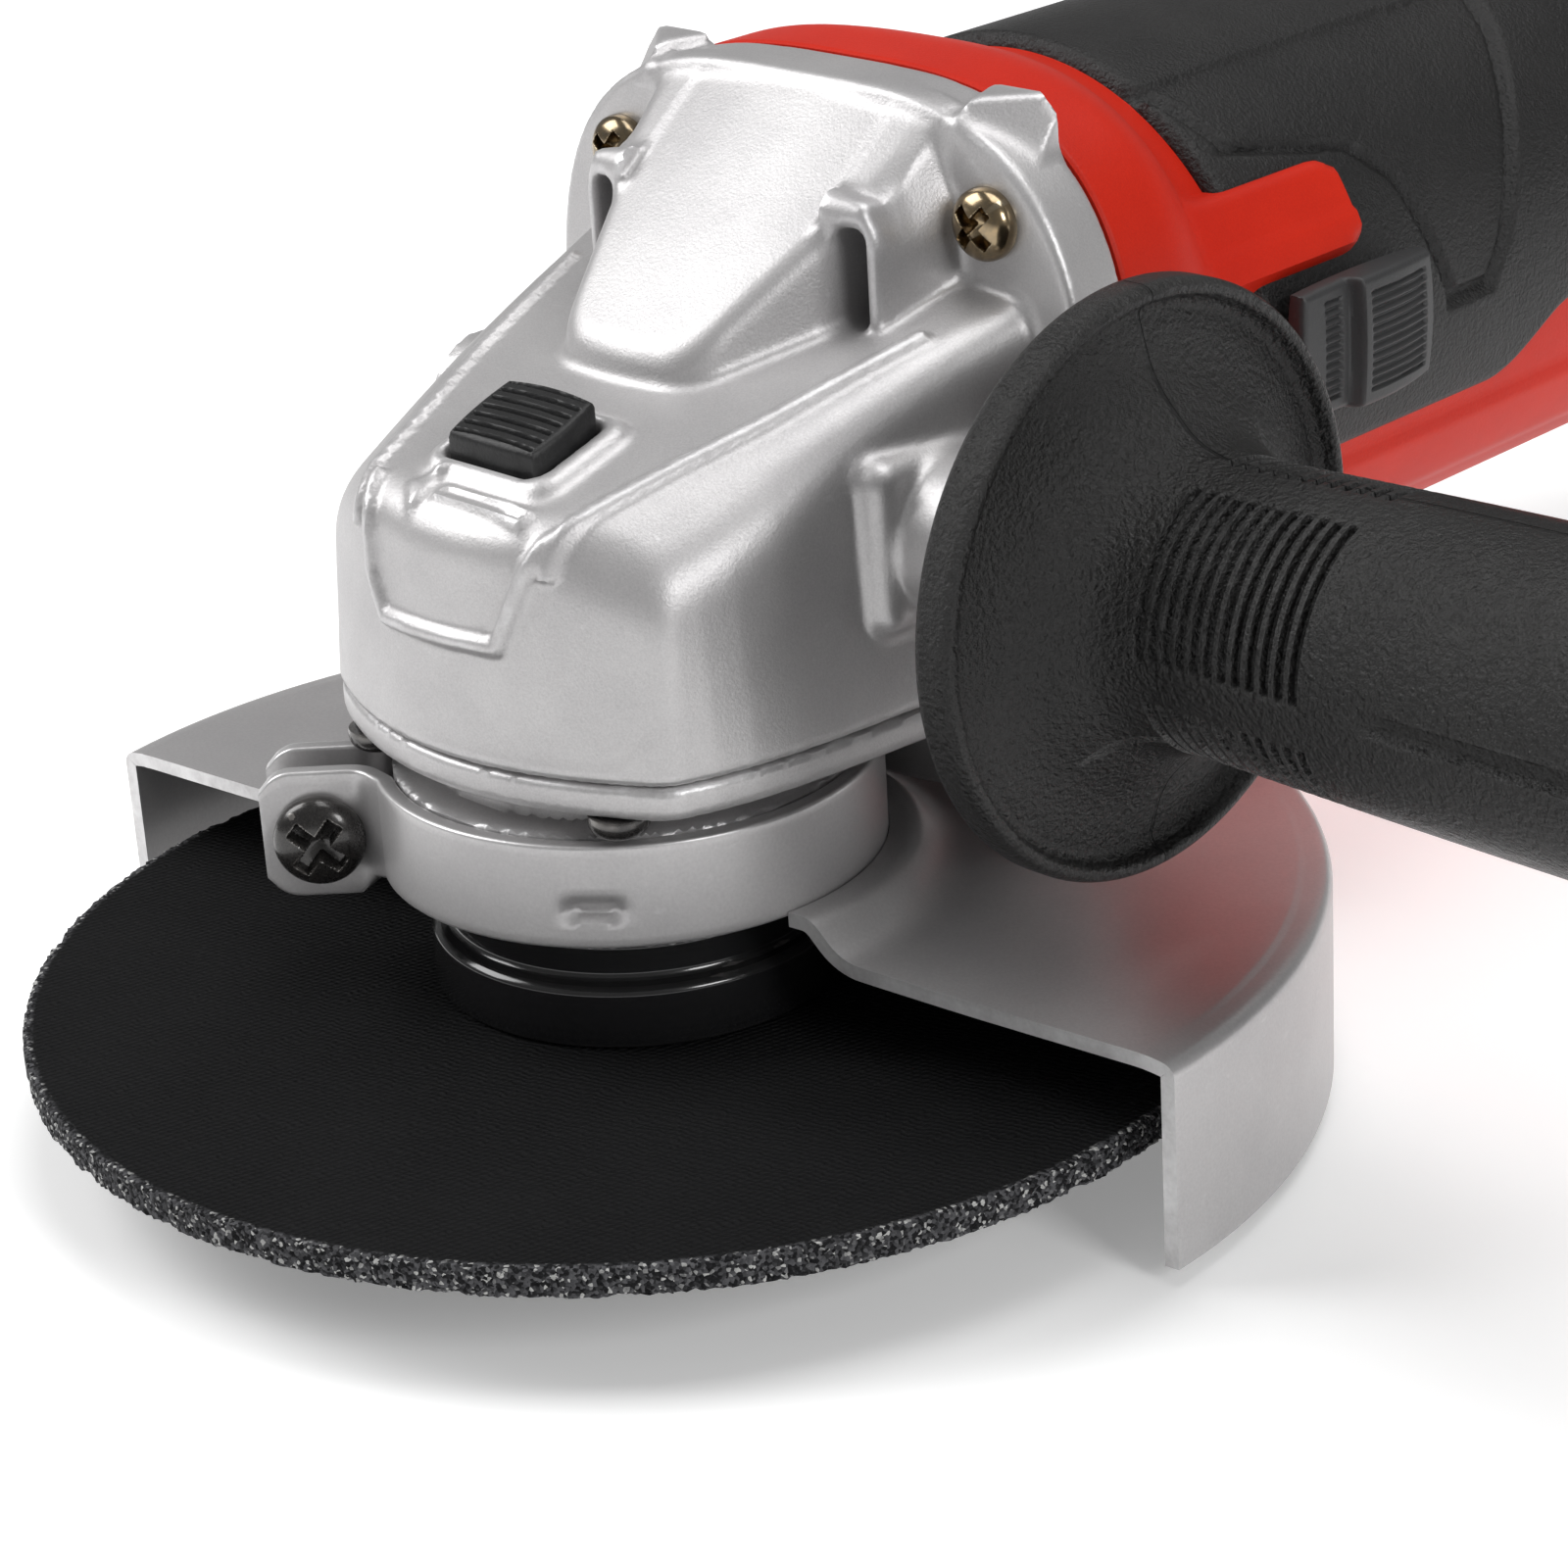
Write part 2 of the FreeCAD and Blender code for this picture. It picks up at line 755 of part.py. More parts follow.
def build_pinion():
    """The small bevel gear on the end of the motor shaft, and its nut."""
    body = new_body("pinion", motor_frame(plain(FULL_TURN / 2 / DIMENSIONS["pinion_teeth"])))
    root = d.pinion_pitch - d.dedendum
    share = d.tooth_inner / d.crown_pitch
    revolve(body, [
        (d.pinion_bore, d.tooth_inner), (root * share, d.tooth_inner), (root, d.crown_pitch),
        (d.pinion_hub, d.crown_pitch + 0.6), (d.pinion_hub, d.pinion_hub_end),
        (d.pinion_bore, d.pinion_hub_end),
    ])
    outline = tooth_outline(
        root - 0.3, d.pinion_pitch + d.pinion_addendum, d.pinion_tooth_half, d.pinion_pitch)
    tooth = loft(body, [(d.tooth_inner, toward_apex(outline, share)), (d.crown_pitch, outline)])
    pattern(body, [tooth], d.pinion_teeth)
    nut = new_body("pinion_nut", motor_frame())

    def draw(sketch):
        add_outline(sketch, polygon(plain(d.pinion_nut_radius), HEXAGON))
        add_circle(sketch, 0.0, 0.0, d.pinion_bore)

    extrude(nut, draw, d.pinion_nut_end - d.pinion_nut_start, offset=d.pinion_nut_start)


# ---------------------------------------------------------------- screws and springs

def cross_outline(u, v, reach, half):
    """The outline of a cross recess."""
    corners = [
        (half, half), (half, reach), (-half, reach), (-half, half), (-reach, half),
        (-reach, -half), (-half, -half), (-half, -reach), (half, -reach), (half, -half),
        (reach, -half), (reach, half),
    ]
    return [(u + along, v + across) for along, across in corners]


def cross_screws(label, frame, place, head, shank, seat, count, axis="Z_Axis"):
    """Identical cross-recess screws: heads below the seat, shanks above it.

    place is the first screw's (u, v); head and shank are (radius, length).
    """
    u, v = place
    body = new_body(label, frame)
    cap = extrude(body, lambda sketch: add_circle(sketch, u, v, head[0]), head[1],
                  offset=seat - head[1])
    stem = extrude(body, lambda sketch: add_circle(sketch, u, v, shank[0]), shank[1], offset=seat)
    reach, half = plain(head[0]) * 0.6, plain(head[0]) * 0.14
    recess = extrude(body, lambda sketch: add_outline(sketch, cross_outline(u, v, reach, half)),
                     plain(head[1]) * 0.6, offset=seat - head[1], cut=True, back=True)
    if count > 1:
        pattern(body, [cap, stem, recess], count, axis)
    return body


def coil_spring(label, base, rotation, radius, wire, length, turns):
    """A helical spring that stands on its base point and runs along local Z."""
    helix = Part.makeHelix((length - 2 * wire) / turns, length - 2 * wire, radius)
    helix.translate(FreeCAD.Vector(0, 0, wire))
    section = Part.Wire([Part.Edge(Part.Circle(
        FreeCAD.Vector(radius, 0, wire), FreeCAD.Vector(0, 1, 0), wire))])
    spring = doc.addObject("Part::Feature", label)
    spring.Label = label
    spring.Shape = Part.Wire(helix.Edges).makePipeShell([section], True, True)
    spring.Placement = FreeCAD.Placement(base, rotation)
    return spring


# ---------------------------------------------------------------- gear head

def build_bearing_cover():
    """The cover under the gear housing, with the neck that the guard clamps round."""
    body = turned("bearing_cover", spindle_frame(), [
        (d.cover_bore, d.neck_bottom), (d.neck_radius, d.neck_bottom),
        (d.neck_radius, d.neck_top), (d.waist_radius, d.neck_top),
        (d.waist_radius, d.parting), (d.bearing_radius, d.parting),
        (d.bearing_radius, d.bearing_bottom), (d.felt_radius, d.bearing_bottom),
        (d.felt_radius, d.felt_bottom), (d.cover_bore, d.felt_bottom),
    ])

    def plate(sketch):
        add_outline(sketch, chamfered(
            d.cover_half_width, -d.cover_front, d.cover_back, d.cover_chamfer))
        add_circle(sketch, 0.0, 0.0, d.bearing_radius)

    extrude(body, plate, d.parting - d.cover_plate, offset=d.cover_plate)
    place = d.cover_screw_place
    hole = extrude(
        body, lambda sketch: add_circle(sketch, place, place, d.cover_screw_shank),
        d.parting - d.cover_plate, offset=d.parting, cut=True)
    pattern(body, [hole], SCREWS)
    cross_screws("cover_screws", spindle_frame(), (place, place), (d.cover_screw_head, 2.5),
                 (d.cover_screw_shank, d.cover_screw_length), d.cover_plate, SCREWS)


def height(z):
    """A height above the disc seat as a distance up from the motor axis."""
    return z - d.motor_axis


def housing_sections():
    """The gear housing's lofted sections, from its nose back to its flange."""
    def section(half, top, bottom, corner):
        return chamfered(half, -height(top), -height(bottom), corner)

    return [
        (-d.housing_front, section(d.nose_half, d.nose_top, d.parting, d.nose_corner)),
        (d.face_y, section(d.face_half, d.face_top, d.parting, d.face_corner)),
        (d.middle_y, section(d.middle_half, d.middle_top, d.parting, d.middle_corner)),
        (d.rear_y, section(d.rear_half, d.rear_top, d.parting, d.rear_corner)),
        (d.flange_front, section(
            d.throat_half, d.throat_top, d.throat_bottom, d.throat_corner)),
    ]


def flange_outline(sketch):
    """The square outline with cut corners that the two housings share."""
    add_outline(sketch, chamfered(
        d.housing_half, -d.housing_half, d.housing_half, d.housing_corner))


def build_gear_housing():
    """The die-cast head: lofted outside, with its chambers, bores and sockets cut in."""
    body = new_body("gear_housing", motor_frame())
    loft(body, housing_sections())
    extrude(body, flange_outline, d.housing_back - d.flange_front, offset=d.flange_front)

    def circle(u, v, radius):
        return lambda sketch: add_circle(sketch, u, v, radius)

    side = (-height(d.handle_z), d.handle_y)
    boss_length = d.boss_reach - d.boss_root
    extrude(body, circle(*side, d.boss_radius), boss_length, "YZ_Plane", d.boss_root)
    extrude(body, circle(*side, d.boss_radius), boss_length, "YZ_Plane", -d.boss_root, back=True)

    def cut(draw, length, plane, offset, back=False):
        return extrude(body, draw, length, plane, offset, cut=True, back=back)

    cut(circle(0.0, 0.0, d.gear_chamber), d.chamber_top - d.parting,
        "XZ_Plane", height(d.parting), back=True)
    cut(circle(0.0, 0.0, d.bush_outer), d.bush_top - d.chamber_top,
        "XZ_Plane", height(d.chamber_top), back=True)
    cut(circle(0.0, 0.0, d.pinion_chamber), d.front_bearing_start - d.pinion_chamber_front,
        "XY_Plane", d.pinion_chamber_front, back=True)
    cut(circle(0.0, 0.0, d.front_bearing_radius), d.housing_back - d.front_bearing_start,
        "XY_Plane", d.housing_back)
    cut(circle(0.0, 0.0, d.retainer_outer), d.housing_back - d.front_bearing_end,
        "XY_Plane", d.housing_back)

    def air_ring(sketch):
        add_circle(sketch, 0.0, 0.0, d.air_ring_outer)
        add_circle(sketch, 0.0, 0.0, d.air_ring_inner)

    cut(air_ring, d.air_ring_depth, "XY_Plane", d.housing_back)

    def air_slots(sketch):
        for side_sign in (-1.0, 1.0):
            middle = d.slot_place * side_sign
            add_outline(sketch, rectangle(
                middle - d.slot_width / 2, middle + d.slot_width / 2,
                d.slot_front, d.slot_front + d.slot_length))

    slot_floor = d.motor_axis + d.air_ring_inner
    cut(air_slots, d.motor_axis + OUT_OF_REACH - slot_floor, "XZ_Plane", OUT_OF_REACH)
    cut(circle(*side, d.socket_radius), d.socket_depth, "YZ_Plane", d.boss_reach)
    cut(circle(*side, d.socket_radius), d.socket_depth, "YZ_Plane", -d.boss_reach, back=True)

    def button_well(sketch):
        half_width = d.button_width / 2 + d.button_gap
        half_length = d.button_length / 2 + d.button_gap
        add_outline(sketch, rectangle(
            -half_width, half_width, d.button_y - half_length, d.button_y + half_length))

    cut(button_well, d.motor_axis + OUT_OF_REACH - d.lock_floor, "XZ_Plane", OUT_OF_REACH)
    cut(circle(0.0, -d.lock_circle, d.lock_pin_bore), d.lock_floor - d.chamber_top,
        "XZ_Plane", height(d.lock_floor))
    place = d.head_screw_place
    pocket = cut(circle(place, place, d.screw_pocket), OUT_OF_REACH, "XY_Plane", d.flange_front)
    pattern(body, [pocket], SCREWS)
    hole = cut(circle(place, place, d.head_screw_shank), d.housing_back - d.flange_front,
               "XY_Plane", d.housing_back)
    pattern(body, [hole], SCREWS)
    place = d.cover_screw_place
    hole = cut(circle(place, place, d.cover_screw_shank), d.cover_screw_length,
               "XZ_Plane", height(d.parting), back=True)
    pattern(body, [hole], SCREWS, "Y_Axis")
    place = d.head_screw_place
    cross_screws("head_screws", motor_frame(), (place, place),
                 (d.head_screw_head, d.head_screw_cap),
                 (d.head_screw_shank, d.head_screw_length), d.flange_front, SCREWS)


def build_spindle_lock():
    """The lock button, its pin and its return spring."""
    button = new_body("lock_button", spindle_frame())

    def block(sketch):
        add_outline(sketch, rectangle(
            -d.button_width / 2, d.button_width / 2,
            d.button_y - d.button_length / 2, d.button_y + d.button_length / 2))

    extrude(button, block, d.button_top - d.button_bottom, offset=d.button_bottom)
    extrude(button, lambda sketch: add_circle(sketch, 0.0, -d.lock_circle, d.spring_chamber),
            d.lock_pin_top - d.button_bottom, offset=d.button_bottom, cut=True, back=True)
    pin_frame = ((0.0, -d.lock_circle, 0.0), FreeCAD.Rotation())
    turned("lock_pin", pin_frame, steps(d.lock_pin_bottom, (d.lock_pin_radius, d.lock_pin_top)))
    base = FreeCAD.Vector(0, -DIMENSIONS["lock_circle"], DIMENSIONS["lock_floor"])
    coil_spring("lock_spring", base, FreeCAD.Rotation(), DIMENSIONS["spring_radius"],
                DIMENSIONS["spring_wire"], DIMENSIONS["lock_pin_top"] - DIMENSIONS["lock_floor"],
                DIMENSIONS["spring_turns"])


# ---------------------------------------------------------------- guard

def build_guard():
    """The sheet-steel guard, its clamping collar, screw and nut."""
    sheet_thickness = d.guard_sheet
    shell = turned("guard_shell", spindle_frame(DIMENSIONS["guard_turned"]), [
        (d.collar_radius + 0.05, d.guard_rise - sheet_thickness),
        (d.guard_cone, d.guard_top - sheet_thickness),
        (d.guard_radius - sheet_thickness, d.guard_top - sheet_thickness),
        (d.guard_radius - sheet_thickness, d.guard_bottom),
        (d.guard_radius, d.guard_bottom), (d.guard_radius, d.guard_top - 1.0),
        (d.guard_radius - 1.0, d.guard_top), (d.guard_cone, d.guard_top),
        (d.collar_radius + 0.05, d.guard_rise),
    ])
    reach = d.guard_radius + 1.0
    extrude(shell, lambda sketch: add_outline(sketch, rectangle(
        -reach, reach, -reach, -d.guard_chord)),
        OUT_OF_REACH, offset=OUT_OF_REACH / 2, cut=True)

    ear_frame = spindle_frame(DIMENSIONS["ear_angle"])
    collar = turned("guard_collar", ear_frame, ring(
        d.collar_bore, d.collar_radius, d.collar_bottom, d.collar_top))
    root = d.collar_bore + 0.6

    def ears(sketch):
        outer = d.ear_gap + d.ear_sheet
        add_outline(sketch, rectangle(root, d.ear_reach, d.ear_gap, outer))
        add_outline(sketch, rectangle(root, d.ear_reach, -outer, -d.ear_gap))

    extrude(collar, ears, d.collar_top - d.ear_bottom, offset=d.ear_bottom)
    extrude(collar, lambda sketch: add_outline(sketch, rectangle(
        d.neck_radius - 3.0, d.collar_radius + 1.0, -d.ear_gap, d.ear_gap)),
        d.collar_top - d.collar_bottom, offset=d.collar_top, cut=True)
    extrude(collar, lambda sketch: add_circle(
        sketch, d.ear_screw_place, d.ear_screw_z, d.clamp_bore),
        (d.ear_gap + d.ear_sheet) * 2, plane="XZ_Plane",
        offset=d.ear_gap + d.ear_sheet, cut=True)

    angle = math.radians(DIMENSIONS["ear_angle"])
    place = DIMENSIONS["ear_screw_place"]
    base = (place * math.cos(angle), place * math.sin(angle), d.ear_screw_z)
    along_screw = ear_frame[1] * FreeCAD.Rotation(FreeCAD.Vector(1, 0, 0), 90)
    outer = d.ear_gap + d.ear_sheet
    cross_screws("guard_clamp_screw", (base, along_screw), (0.0, 0.0),
                 (d.clamp_head, d.clamp_head_height),
                 (d.clamp_shank, outer * 2 + d.clamp_nut_height + d.clamp_tail), -outer, 1)
    nut = new_body("guard_clamp_nut", (base, along_screw))

    def draw(sketch):
        add_outline(sketch, polygon(DIMENSIONS["clamp_nut"], HEXAGON))
        add_circle(sketch, 0.0, 0.0, d.clamp_bore)

    extrude(nut, draw, d.clamp_nut_height, offset=outer)


# ---------------------------------------------------------------- side handle

def build_side_handle():
    """The flanged side handle and the stud moulded into it."""
    turned("side_handle_grip", handle_frame(), [
        (d.stud_radius, d.handle_start), (d.handle_hub, d.handle_start),
        (d.handle_hub, d.handle_flange_back - 3.0), (d.handle_grip, d.handle_flange_back),
        (d.handle_flange, d.handle_flange_back + 1.0),
        (d.handle_flange, d.handle_flange_front + 0.5),
        (d.handle_flange - 1.5, d.handle_flange_front + 1.5),
        (d.handle_flange - 4.0, d.handle_flange_front),
        (d.handle_dish, d.handle_flange_front + 2.0),
        (d.handle_grip + 0.5, d.handle_cone_end), (d.handle_grip, d.handle_cone_end + 20.0),
        (d.handle_grip + 0.5, d.handle_end - 12.0), (d.handle_tip, d.handle_end),
        (0.0, d.handle_end), (0.0, d.stud_inner_end), (d.stud_radius, d.stud_inner_end),
    ])
    turned("side_handle_stud", handle_frame(), steps(
        d.stud_end, (d.stud_thread, d.boss_reach + 0.1), (d.stud_radius, d.stud_inner_end)))


# ---------------------------------------------------------------- armature

def bearing(prefix, races, span, ball, count):
    """A ball bearing on the motor axis as outer ring, inner ring and balls."""
    bore, inner, outer, radius = races
    start, end = span
    turned(prefix + "_outer", motor_frame(), ring(outer, radius, start, end))
    turned(prefix + "_inner", motor_frame(), ring(bore, inner, start, end))
    ball_set(prefix + "_balls", motor_frame(), ball[0], ball[1], (start + end) / 2, count)


def build_armature():
    """The motor shaft and everything that turns with it."""
    frame = motor_frame()
    turned("armature_shaft", frame, steps(
        d.shaft_start, (d.pinion_shaft, d.pinion_hub_end), (d.shaft_seat, d.shaft_seat_end),
        (d.shaft_body, d.shaft_body_end), (d.shaft_tail, d.shaft_end)))
    bearing("front_bearing",
            (d.shaft_seat, d.front_race_inner, d.front_race_outer, d.front_bearing_radius),
            (d.front_bearing_start, d.front_bearing_end),
            (d.front_ball_circle, d.front_ball_radius), BALLS)
    bearing("rear_bearing",
            (d.shaft_tail, d.rear_race_inner, d.rear_race_outer, d.rear_bearing_radius),
            (d.rear_bearing_start, d.rear_bearing_end),
            (d.rear_ball_circle, d.rear_ball_radius), BALLS)
    turned("bearing_retainer", frame, ring(
        d.retainer_inner, d.retainer_outer, d.front_bearing_end,
        d.front_bearing_end + d.retainer_sheet))
    turned("rear_bearing_boot", frame, ring(
        d.rear_bearing_radius, d.boot_radius, d.rear_bearing_start, d.boot_end))

    fan = turned("cooling_fan", frame, [
        (d.shaft_body, d.fan_start), (d.fan_hub, d.fan_start), (d.fan_hub, d.fan_disc_start),
        (d.fan_radius, d.fan_disc_start), (d.fan_radius, d.fan_end), (d.shaft_body, d.fan_end),
    ])
    blade = extrude(
        fan, lambda sketch: add_outline(sketch, rectangle(
            d.fan_hub - 1.0, d.fan_radius - 1.0, -d.fan_blade_width / 2, d.fan_blade_width / 2)),
        d.fan_disc_start - d.fan_start, offset=d.fan_start)
    pattern(fan, [blade], d.fan_blades)

    core = turned("armature_core", frame, ring(
        d.shaft_body, d.core_radius, d.core_start, d.core_end))
    slot = extrude(
        core, lambda sketch: add_outline(sketch, rectangle(
            d.core_radius - d.core_slot_depth, d.core_radius + 1.0,
            -d.core_slot_width / 2, d.core_slot_width / 2)),
        d.core_end - d.core_start, offset=d.core_end, cut=True)
    pattern(core, [slot], d.core_slots)
    turned("armature_windings", frame, ring(
        d.winding_inner, d.winding_radius, d.core_start - d.winding_reach, d.core_start),
        extra=[ring(d.winding_inner, d.winding_radius, d.core_end,
                    d.core_end + d.winding_reach)])
    turned("commutator", frame, ring(
        d.shaft_body, d.commutator_radius, d.commutator_start, d.commutator_end))


# ---------------------------------------------------------------- stator and brushes

def build_stator():
    """The stator, its coils, its screws and the brush gear."""
    frame = motor_frame()
    core = turned("stator_core", frame, ring(
        d.stator_bore, d.stator_radius, d.stator_start, d.stator_end))
    hole = extrude(core, lambda sketch: add_circle(
        sketch, 0.0, d.stator_screw_place, d.stator_screw),
        d.stator_end - d.stator_start, offset=d.stator_end, cut=True)
    pattern(core, [hole], 2)
    cross_screws("stator_screws", frame, (0.0, d.stator_screw_place),
                 (d.stator_screw_head, d.stator_screw_cap),
                 (d.stator_screw, d.stator_end - d.stator_start), d.stator_start, 2)

    def coil_half(start, end):
        return lambda sketch: add_outline(sketch, rectangle(
            d.coil_inner, d.coil_outer, start, end))

    coils = new_body("stator_coils", frame)
    for start, end in ((d.stator_start - d.coil_reach, d.stator_start),
                       (d.stator_end, d.stator_end + d.coil_reach)):
        sketch = new_sketch(coils, "XZ_Plane")
        coil_half(start, end)(sketch)
        arc = coils.newObject("PartDesign::Revolution", "stator_coil")
        arc.Profile = sketch
        arc.ReferenceAxis = (sketch, ["V_Axis"])
        arc.Angle = COIL_ARC
        arc.Midplane = True
        doc.recompute()
        pattern(coils, [arc], 2)

    holders = new_body("brush_holders", frame)

    def tube(sketch):
        half_height = d.brush_height / 2
        half_width = d.brush_width / 2
        add_outline(sketch, rectangle(
            -half_height - d.holder_wall, half_height + d.holder_wall,
            d.brush_y - half_width - d.holder_wall, d.brush_y + half_width + d.holder_wall))
        add_outline(sketch, rectangle(
            -half_height, half_height, d.brush_y - half_width, d.brush_y + half_width))

    def brush(sketch):
        add_outline(sketch, rectangle(
            -d.brush_height / 2, d.brush_height / 2,
            d.brush_y - d.brush_width / 2, d.brush_y + d.brush_width / 2))

    piece = extrude(holders, tube, d.holder_end - d.holder_start, "YZ_Plane", d.holder_start)
    pattern(holders, [piece], 2)
    brushes = new_body("carbon_brushes", frame)
    piece = extrude(brushes, brush, d.brush_length, "YZ_Plane", d.brush_start + 0.05)
    pattern(brushes, [piece], 2)
    spring_start = DIMENSIONS["brush_start"] + DIMENSIONS["brush_length"] + 0.05
    spring_length = DIMENSIONS["holder_end"] - spring_start
    outward = FreeCAD.Rotation(FreeCAD.Vector(0, 1, 0), 90)
    for name, half_turn in (("right", 0.0), ("left", 180.0)):
        side = FreeCAD.Rotation(FreeCAD.Vector(0, 0, 1), half_turn)
        base = side.multVec(FreeCAD.Vector(spring_start, 0, 0)) + FreeCAD.Vector(
            0, DIMENSIONS["brush_y"], DIMENSIONS["motor_axis"])
        coil_spring("brush_spring_" + name, base, side * outward,
                    BRUSH_SPRING_RADIUS, BRUSH_SPRING_WIRE, spring_length, BRUSH_SPRING_TURNS)


# ---------------------------------------------------------------- motor housing and switch

def cut_switch_slot(body):
    """The slot that the switch slider's leg passes through, with room for its travel."""
    half = d.slider_leg_half + 0.5
    middle = height(d.slider_z)
    extrude(body, lambda sketch: add_outline(sketch, rectangle(
        middle - half, middle + half,
        d.slider_leg_start - d.slider_travel - 0.5, d.slider_leg_end + 0.5)),
        d.slider_base - d.stator_radius, plane="XZ_Plane",
        offset=-d.slider_base, cut=True, back=True)


def build_motor_housing():
    """The red motor housing, the black skin on it, and the air baffle inside."""
    body = new_body("motor_housing", switch_frame())
    revolve(body, [
        (d.fan_chamber, d.ring_end - 4.0), (d.body_front_radius, d.ring_end - 4.0),
        (d.body_front_radius, d.fan_chamber_end), (d.body_radius, d.body_front),
        (d.body_radius, d.body_end), (d.spigot_radius, d.body_end),
        (d.spigot_radius, d.spigot_end), (d.spigot_bore, d.spigot_end),
        (d.spigot_bore, d.bearing_wall_start + d.bearing_wall),
        (d.boot_radius + 2.0, d.bearing_wall_start + d.bearing_wall),
        (d.boot_radius + 2.0, d.boot_end), (d.boot_radius, d.boot_end),
        (d.boot_radius, d.bearing_wall_start + d.bearing_wall),
        (d.shaft_body + 1.0, d.bearing_wall_start + d.bearing_wall),
        (d.shaft_body + 1.0, d.bearing_wall_start), (d.body_bore, d.bearing_wall_start),
        (d.body_bore, d.fan_chamber_end), (d.fan_chamber, d.fan_chamber_end),
    ])

    def collar(sketch):
        flange_outline(sketch)
        add_circle(sketch, 0.0, 0.0, d.fan_chamber)

    extrude(body, collar, d.ring_end - d.housing_back, offset=d.housing_back)
    place = d.head_screw_place
    depth = d.head_screw_length - (d.housing_back - d.flange_front)
    hole = extrude(body, lambda sketch: add_circle(sketch, place, place, d.head_screw_shank),
                   depth, offset=d.housing_back, cut=True, back=True)
    pattern(body, [hole], SCREWS)
    cut_switch_slot(body)
    half = d.rod_half_height + 0.4
    middle = height(d.slider_z)
    extrude(body, lambda sketch: add_outline(sketch, rectangle(
        middle - half, middle + half, d.bearing_wall_start - 1.0, d.spigot_end + 1.0)),
        d.body_bore - d.rod_inner + 2.0, plane="XZ_Plane", offset=-d.body_bore,
        cut=True, back=True)
    rear_screw_holes(body, "YZ_Plane")

    skin = turned("grip_overlay", switch_frame(), ring(
        d.body_radius, d.body_radius + d.overlay_thickness, d.overlay_start, d.overlay_end),
        angle=d.overlay_angle)
    cut_switch_slot(skin)
    turned("air_baffle", motor_frame(), ring(
        d.baffle_inner, d.fan_chamber, d.baffle_start, d.baffle_end))


def rear_screw_holes(body, plane):
    """The holes for the two screws that hold the rear cover on."""
    hole = extrude(body, lambda sketch: add_circle(
        sketch, 0.0, d.rear_screw_y, d.rear_screw_shank),
        d.body_radius - d.spigot_bore + 1.0, plane=plane, offset=d.spigot_bore - 1.0,
        cut=True, back=True)
    pattern(body, [hole], 2)


def build_switch():
    """The slide button on the housing's side, its rod and the switch block."""
    middle = height(d.slider_z)
    slider = new_body("switch_slider", switch_frame())
    extrude(slider, lambda sketch: add_outline(sketch, rectangle(
        middle - d.slider_half_height, middle + d.slider_half_height,
        d.slider_start, d.slider_end)),
        d.slider_reach - d.slider_base, plane="XZ_Plane", offset=-d.slider_reach)
    extrude(slider, lambda sketch: add_outline(sketch, rectangle(
        middle - d.slider_leg_half, middle + d.slider_leg_half,
        d.slider_leg_start, d.slider_leg_end)),
        d.slider_base - d.rod_outer, plane="XZ_Plane", offset=-d.slider_base)
    rod = new_body("switch_rod", switch_frame())
    extrude(rod, lambda sketch: add_outline(sketch, rectangle(
        middle - d.rod_half_height, middle + d.rod_half_height,
        d.slider_leg_start, d.rod_end)),
        d.rod_outer - d.rod_inner, plane="XZ_Plane", offset=-d.rod_outer)
    extrude(rod, lambda sketch: add_outline(sketch, rectangle(
        middle - d.rod_half_height, middle + d.rod_half_height,
        d.rod_end - d.rod_arm, d.rod_end)),
        d.rod_outer - d.rod_arm_reach, plane="XZ_Plane", offset=-d.rod_outer)
    block = new_body("switch_block", spindle_frame())
    extrude(block, lambda sketch: add_outline(sketch, rectangle(
        -d.switch_half_width, d.switch_half_width, d.switch_start, d.switch_end)),
        d.switch_high - d.switch_low, offset=d.switch_low)
    capacitor_frame = ((d.capacitor_x, 0.0, d.capacitor_z), motor_frame()[1])
    turned("capacitor", capacitor_frame, steps(
        d.capacitor_start, (d.capacitor_radius, d.capacitor_end)))


def build_rear():
    """The rear cover, its screws, the cable inlet and the cord clamp."""
    inner = d.rear_waist_radius - d.rear_wall
    tail = d.rear_waist_radius + 1.5
    cover = turned("rear_cover", motor_frame(), [
        (d.rear_bore, d.rear_start), (d.body_radius, d.rear_start),
        (d.body_radius, d.spigot_end), (d.rear_waist_radius, d.rear_waist),
        (tail, d.rear_end), (d.gland_radius, d.rear_end),
        (d.gland_radius, d.rear_end - d.rear_wall),
        (tail - d.rear_wall, d.rear_end - d.rear_wall), (inner, d.rear_waist),
        (d.rear_bore, d.spigot_end + 1.0),
    ])
    rear_screw_holes(cover, "XZ_Plane")
    upright = ((0.0, d.rear_screw_y, d.motor_axis), FreeCAD.Rotation())
    cross_screws("rear_cover_screws", upright,
                 (0.0, 0.0), (d.rear_screw_head, 1.4),
                 (d.rear_screw_shank, d.body_radius - d.spigot_bore), -d.body_radius - 0.05,
                 2, "X_Axis")
    turned("cable_gland", motor_frame(), [
        (d.gland_bore, d.gland_start), (d.gland_flange, d.gland_start),
        (d.gland_flange, d.rear_end - d.rear_wall), (d.gland_radius, d.rear_end - d.rear_wall),
        (d.gland_radius, d.rear_end + 2.0), (d.gland_radius - 1.0, d.gland_end),
        (d.gland_bore, d.gland_end),
    ])
    clamp = new_body("cord_clamp", spindle_frame())
    extrude(clamp, lambda sketch: add_outline(sketch, rectangle(
        -d.clamp_bar_length, d.clamp_bar_length,
        d.clamp_bar_y - d.clamp_bar_width / 2, d.clamp_bar_y + d.clamp_bar_width / 2)),
        d.clamp_bar_height, offset=d.clamp_bar_z - d.clamp_bar_height / 2)


# ---------------------------------------------------------------- checks and export

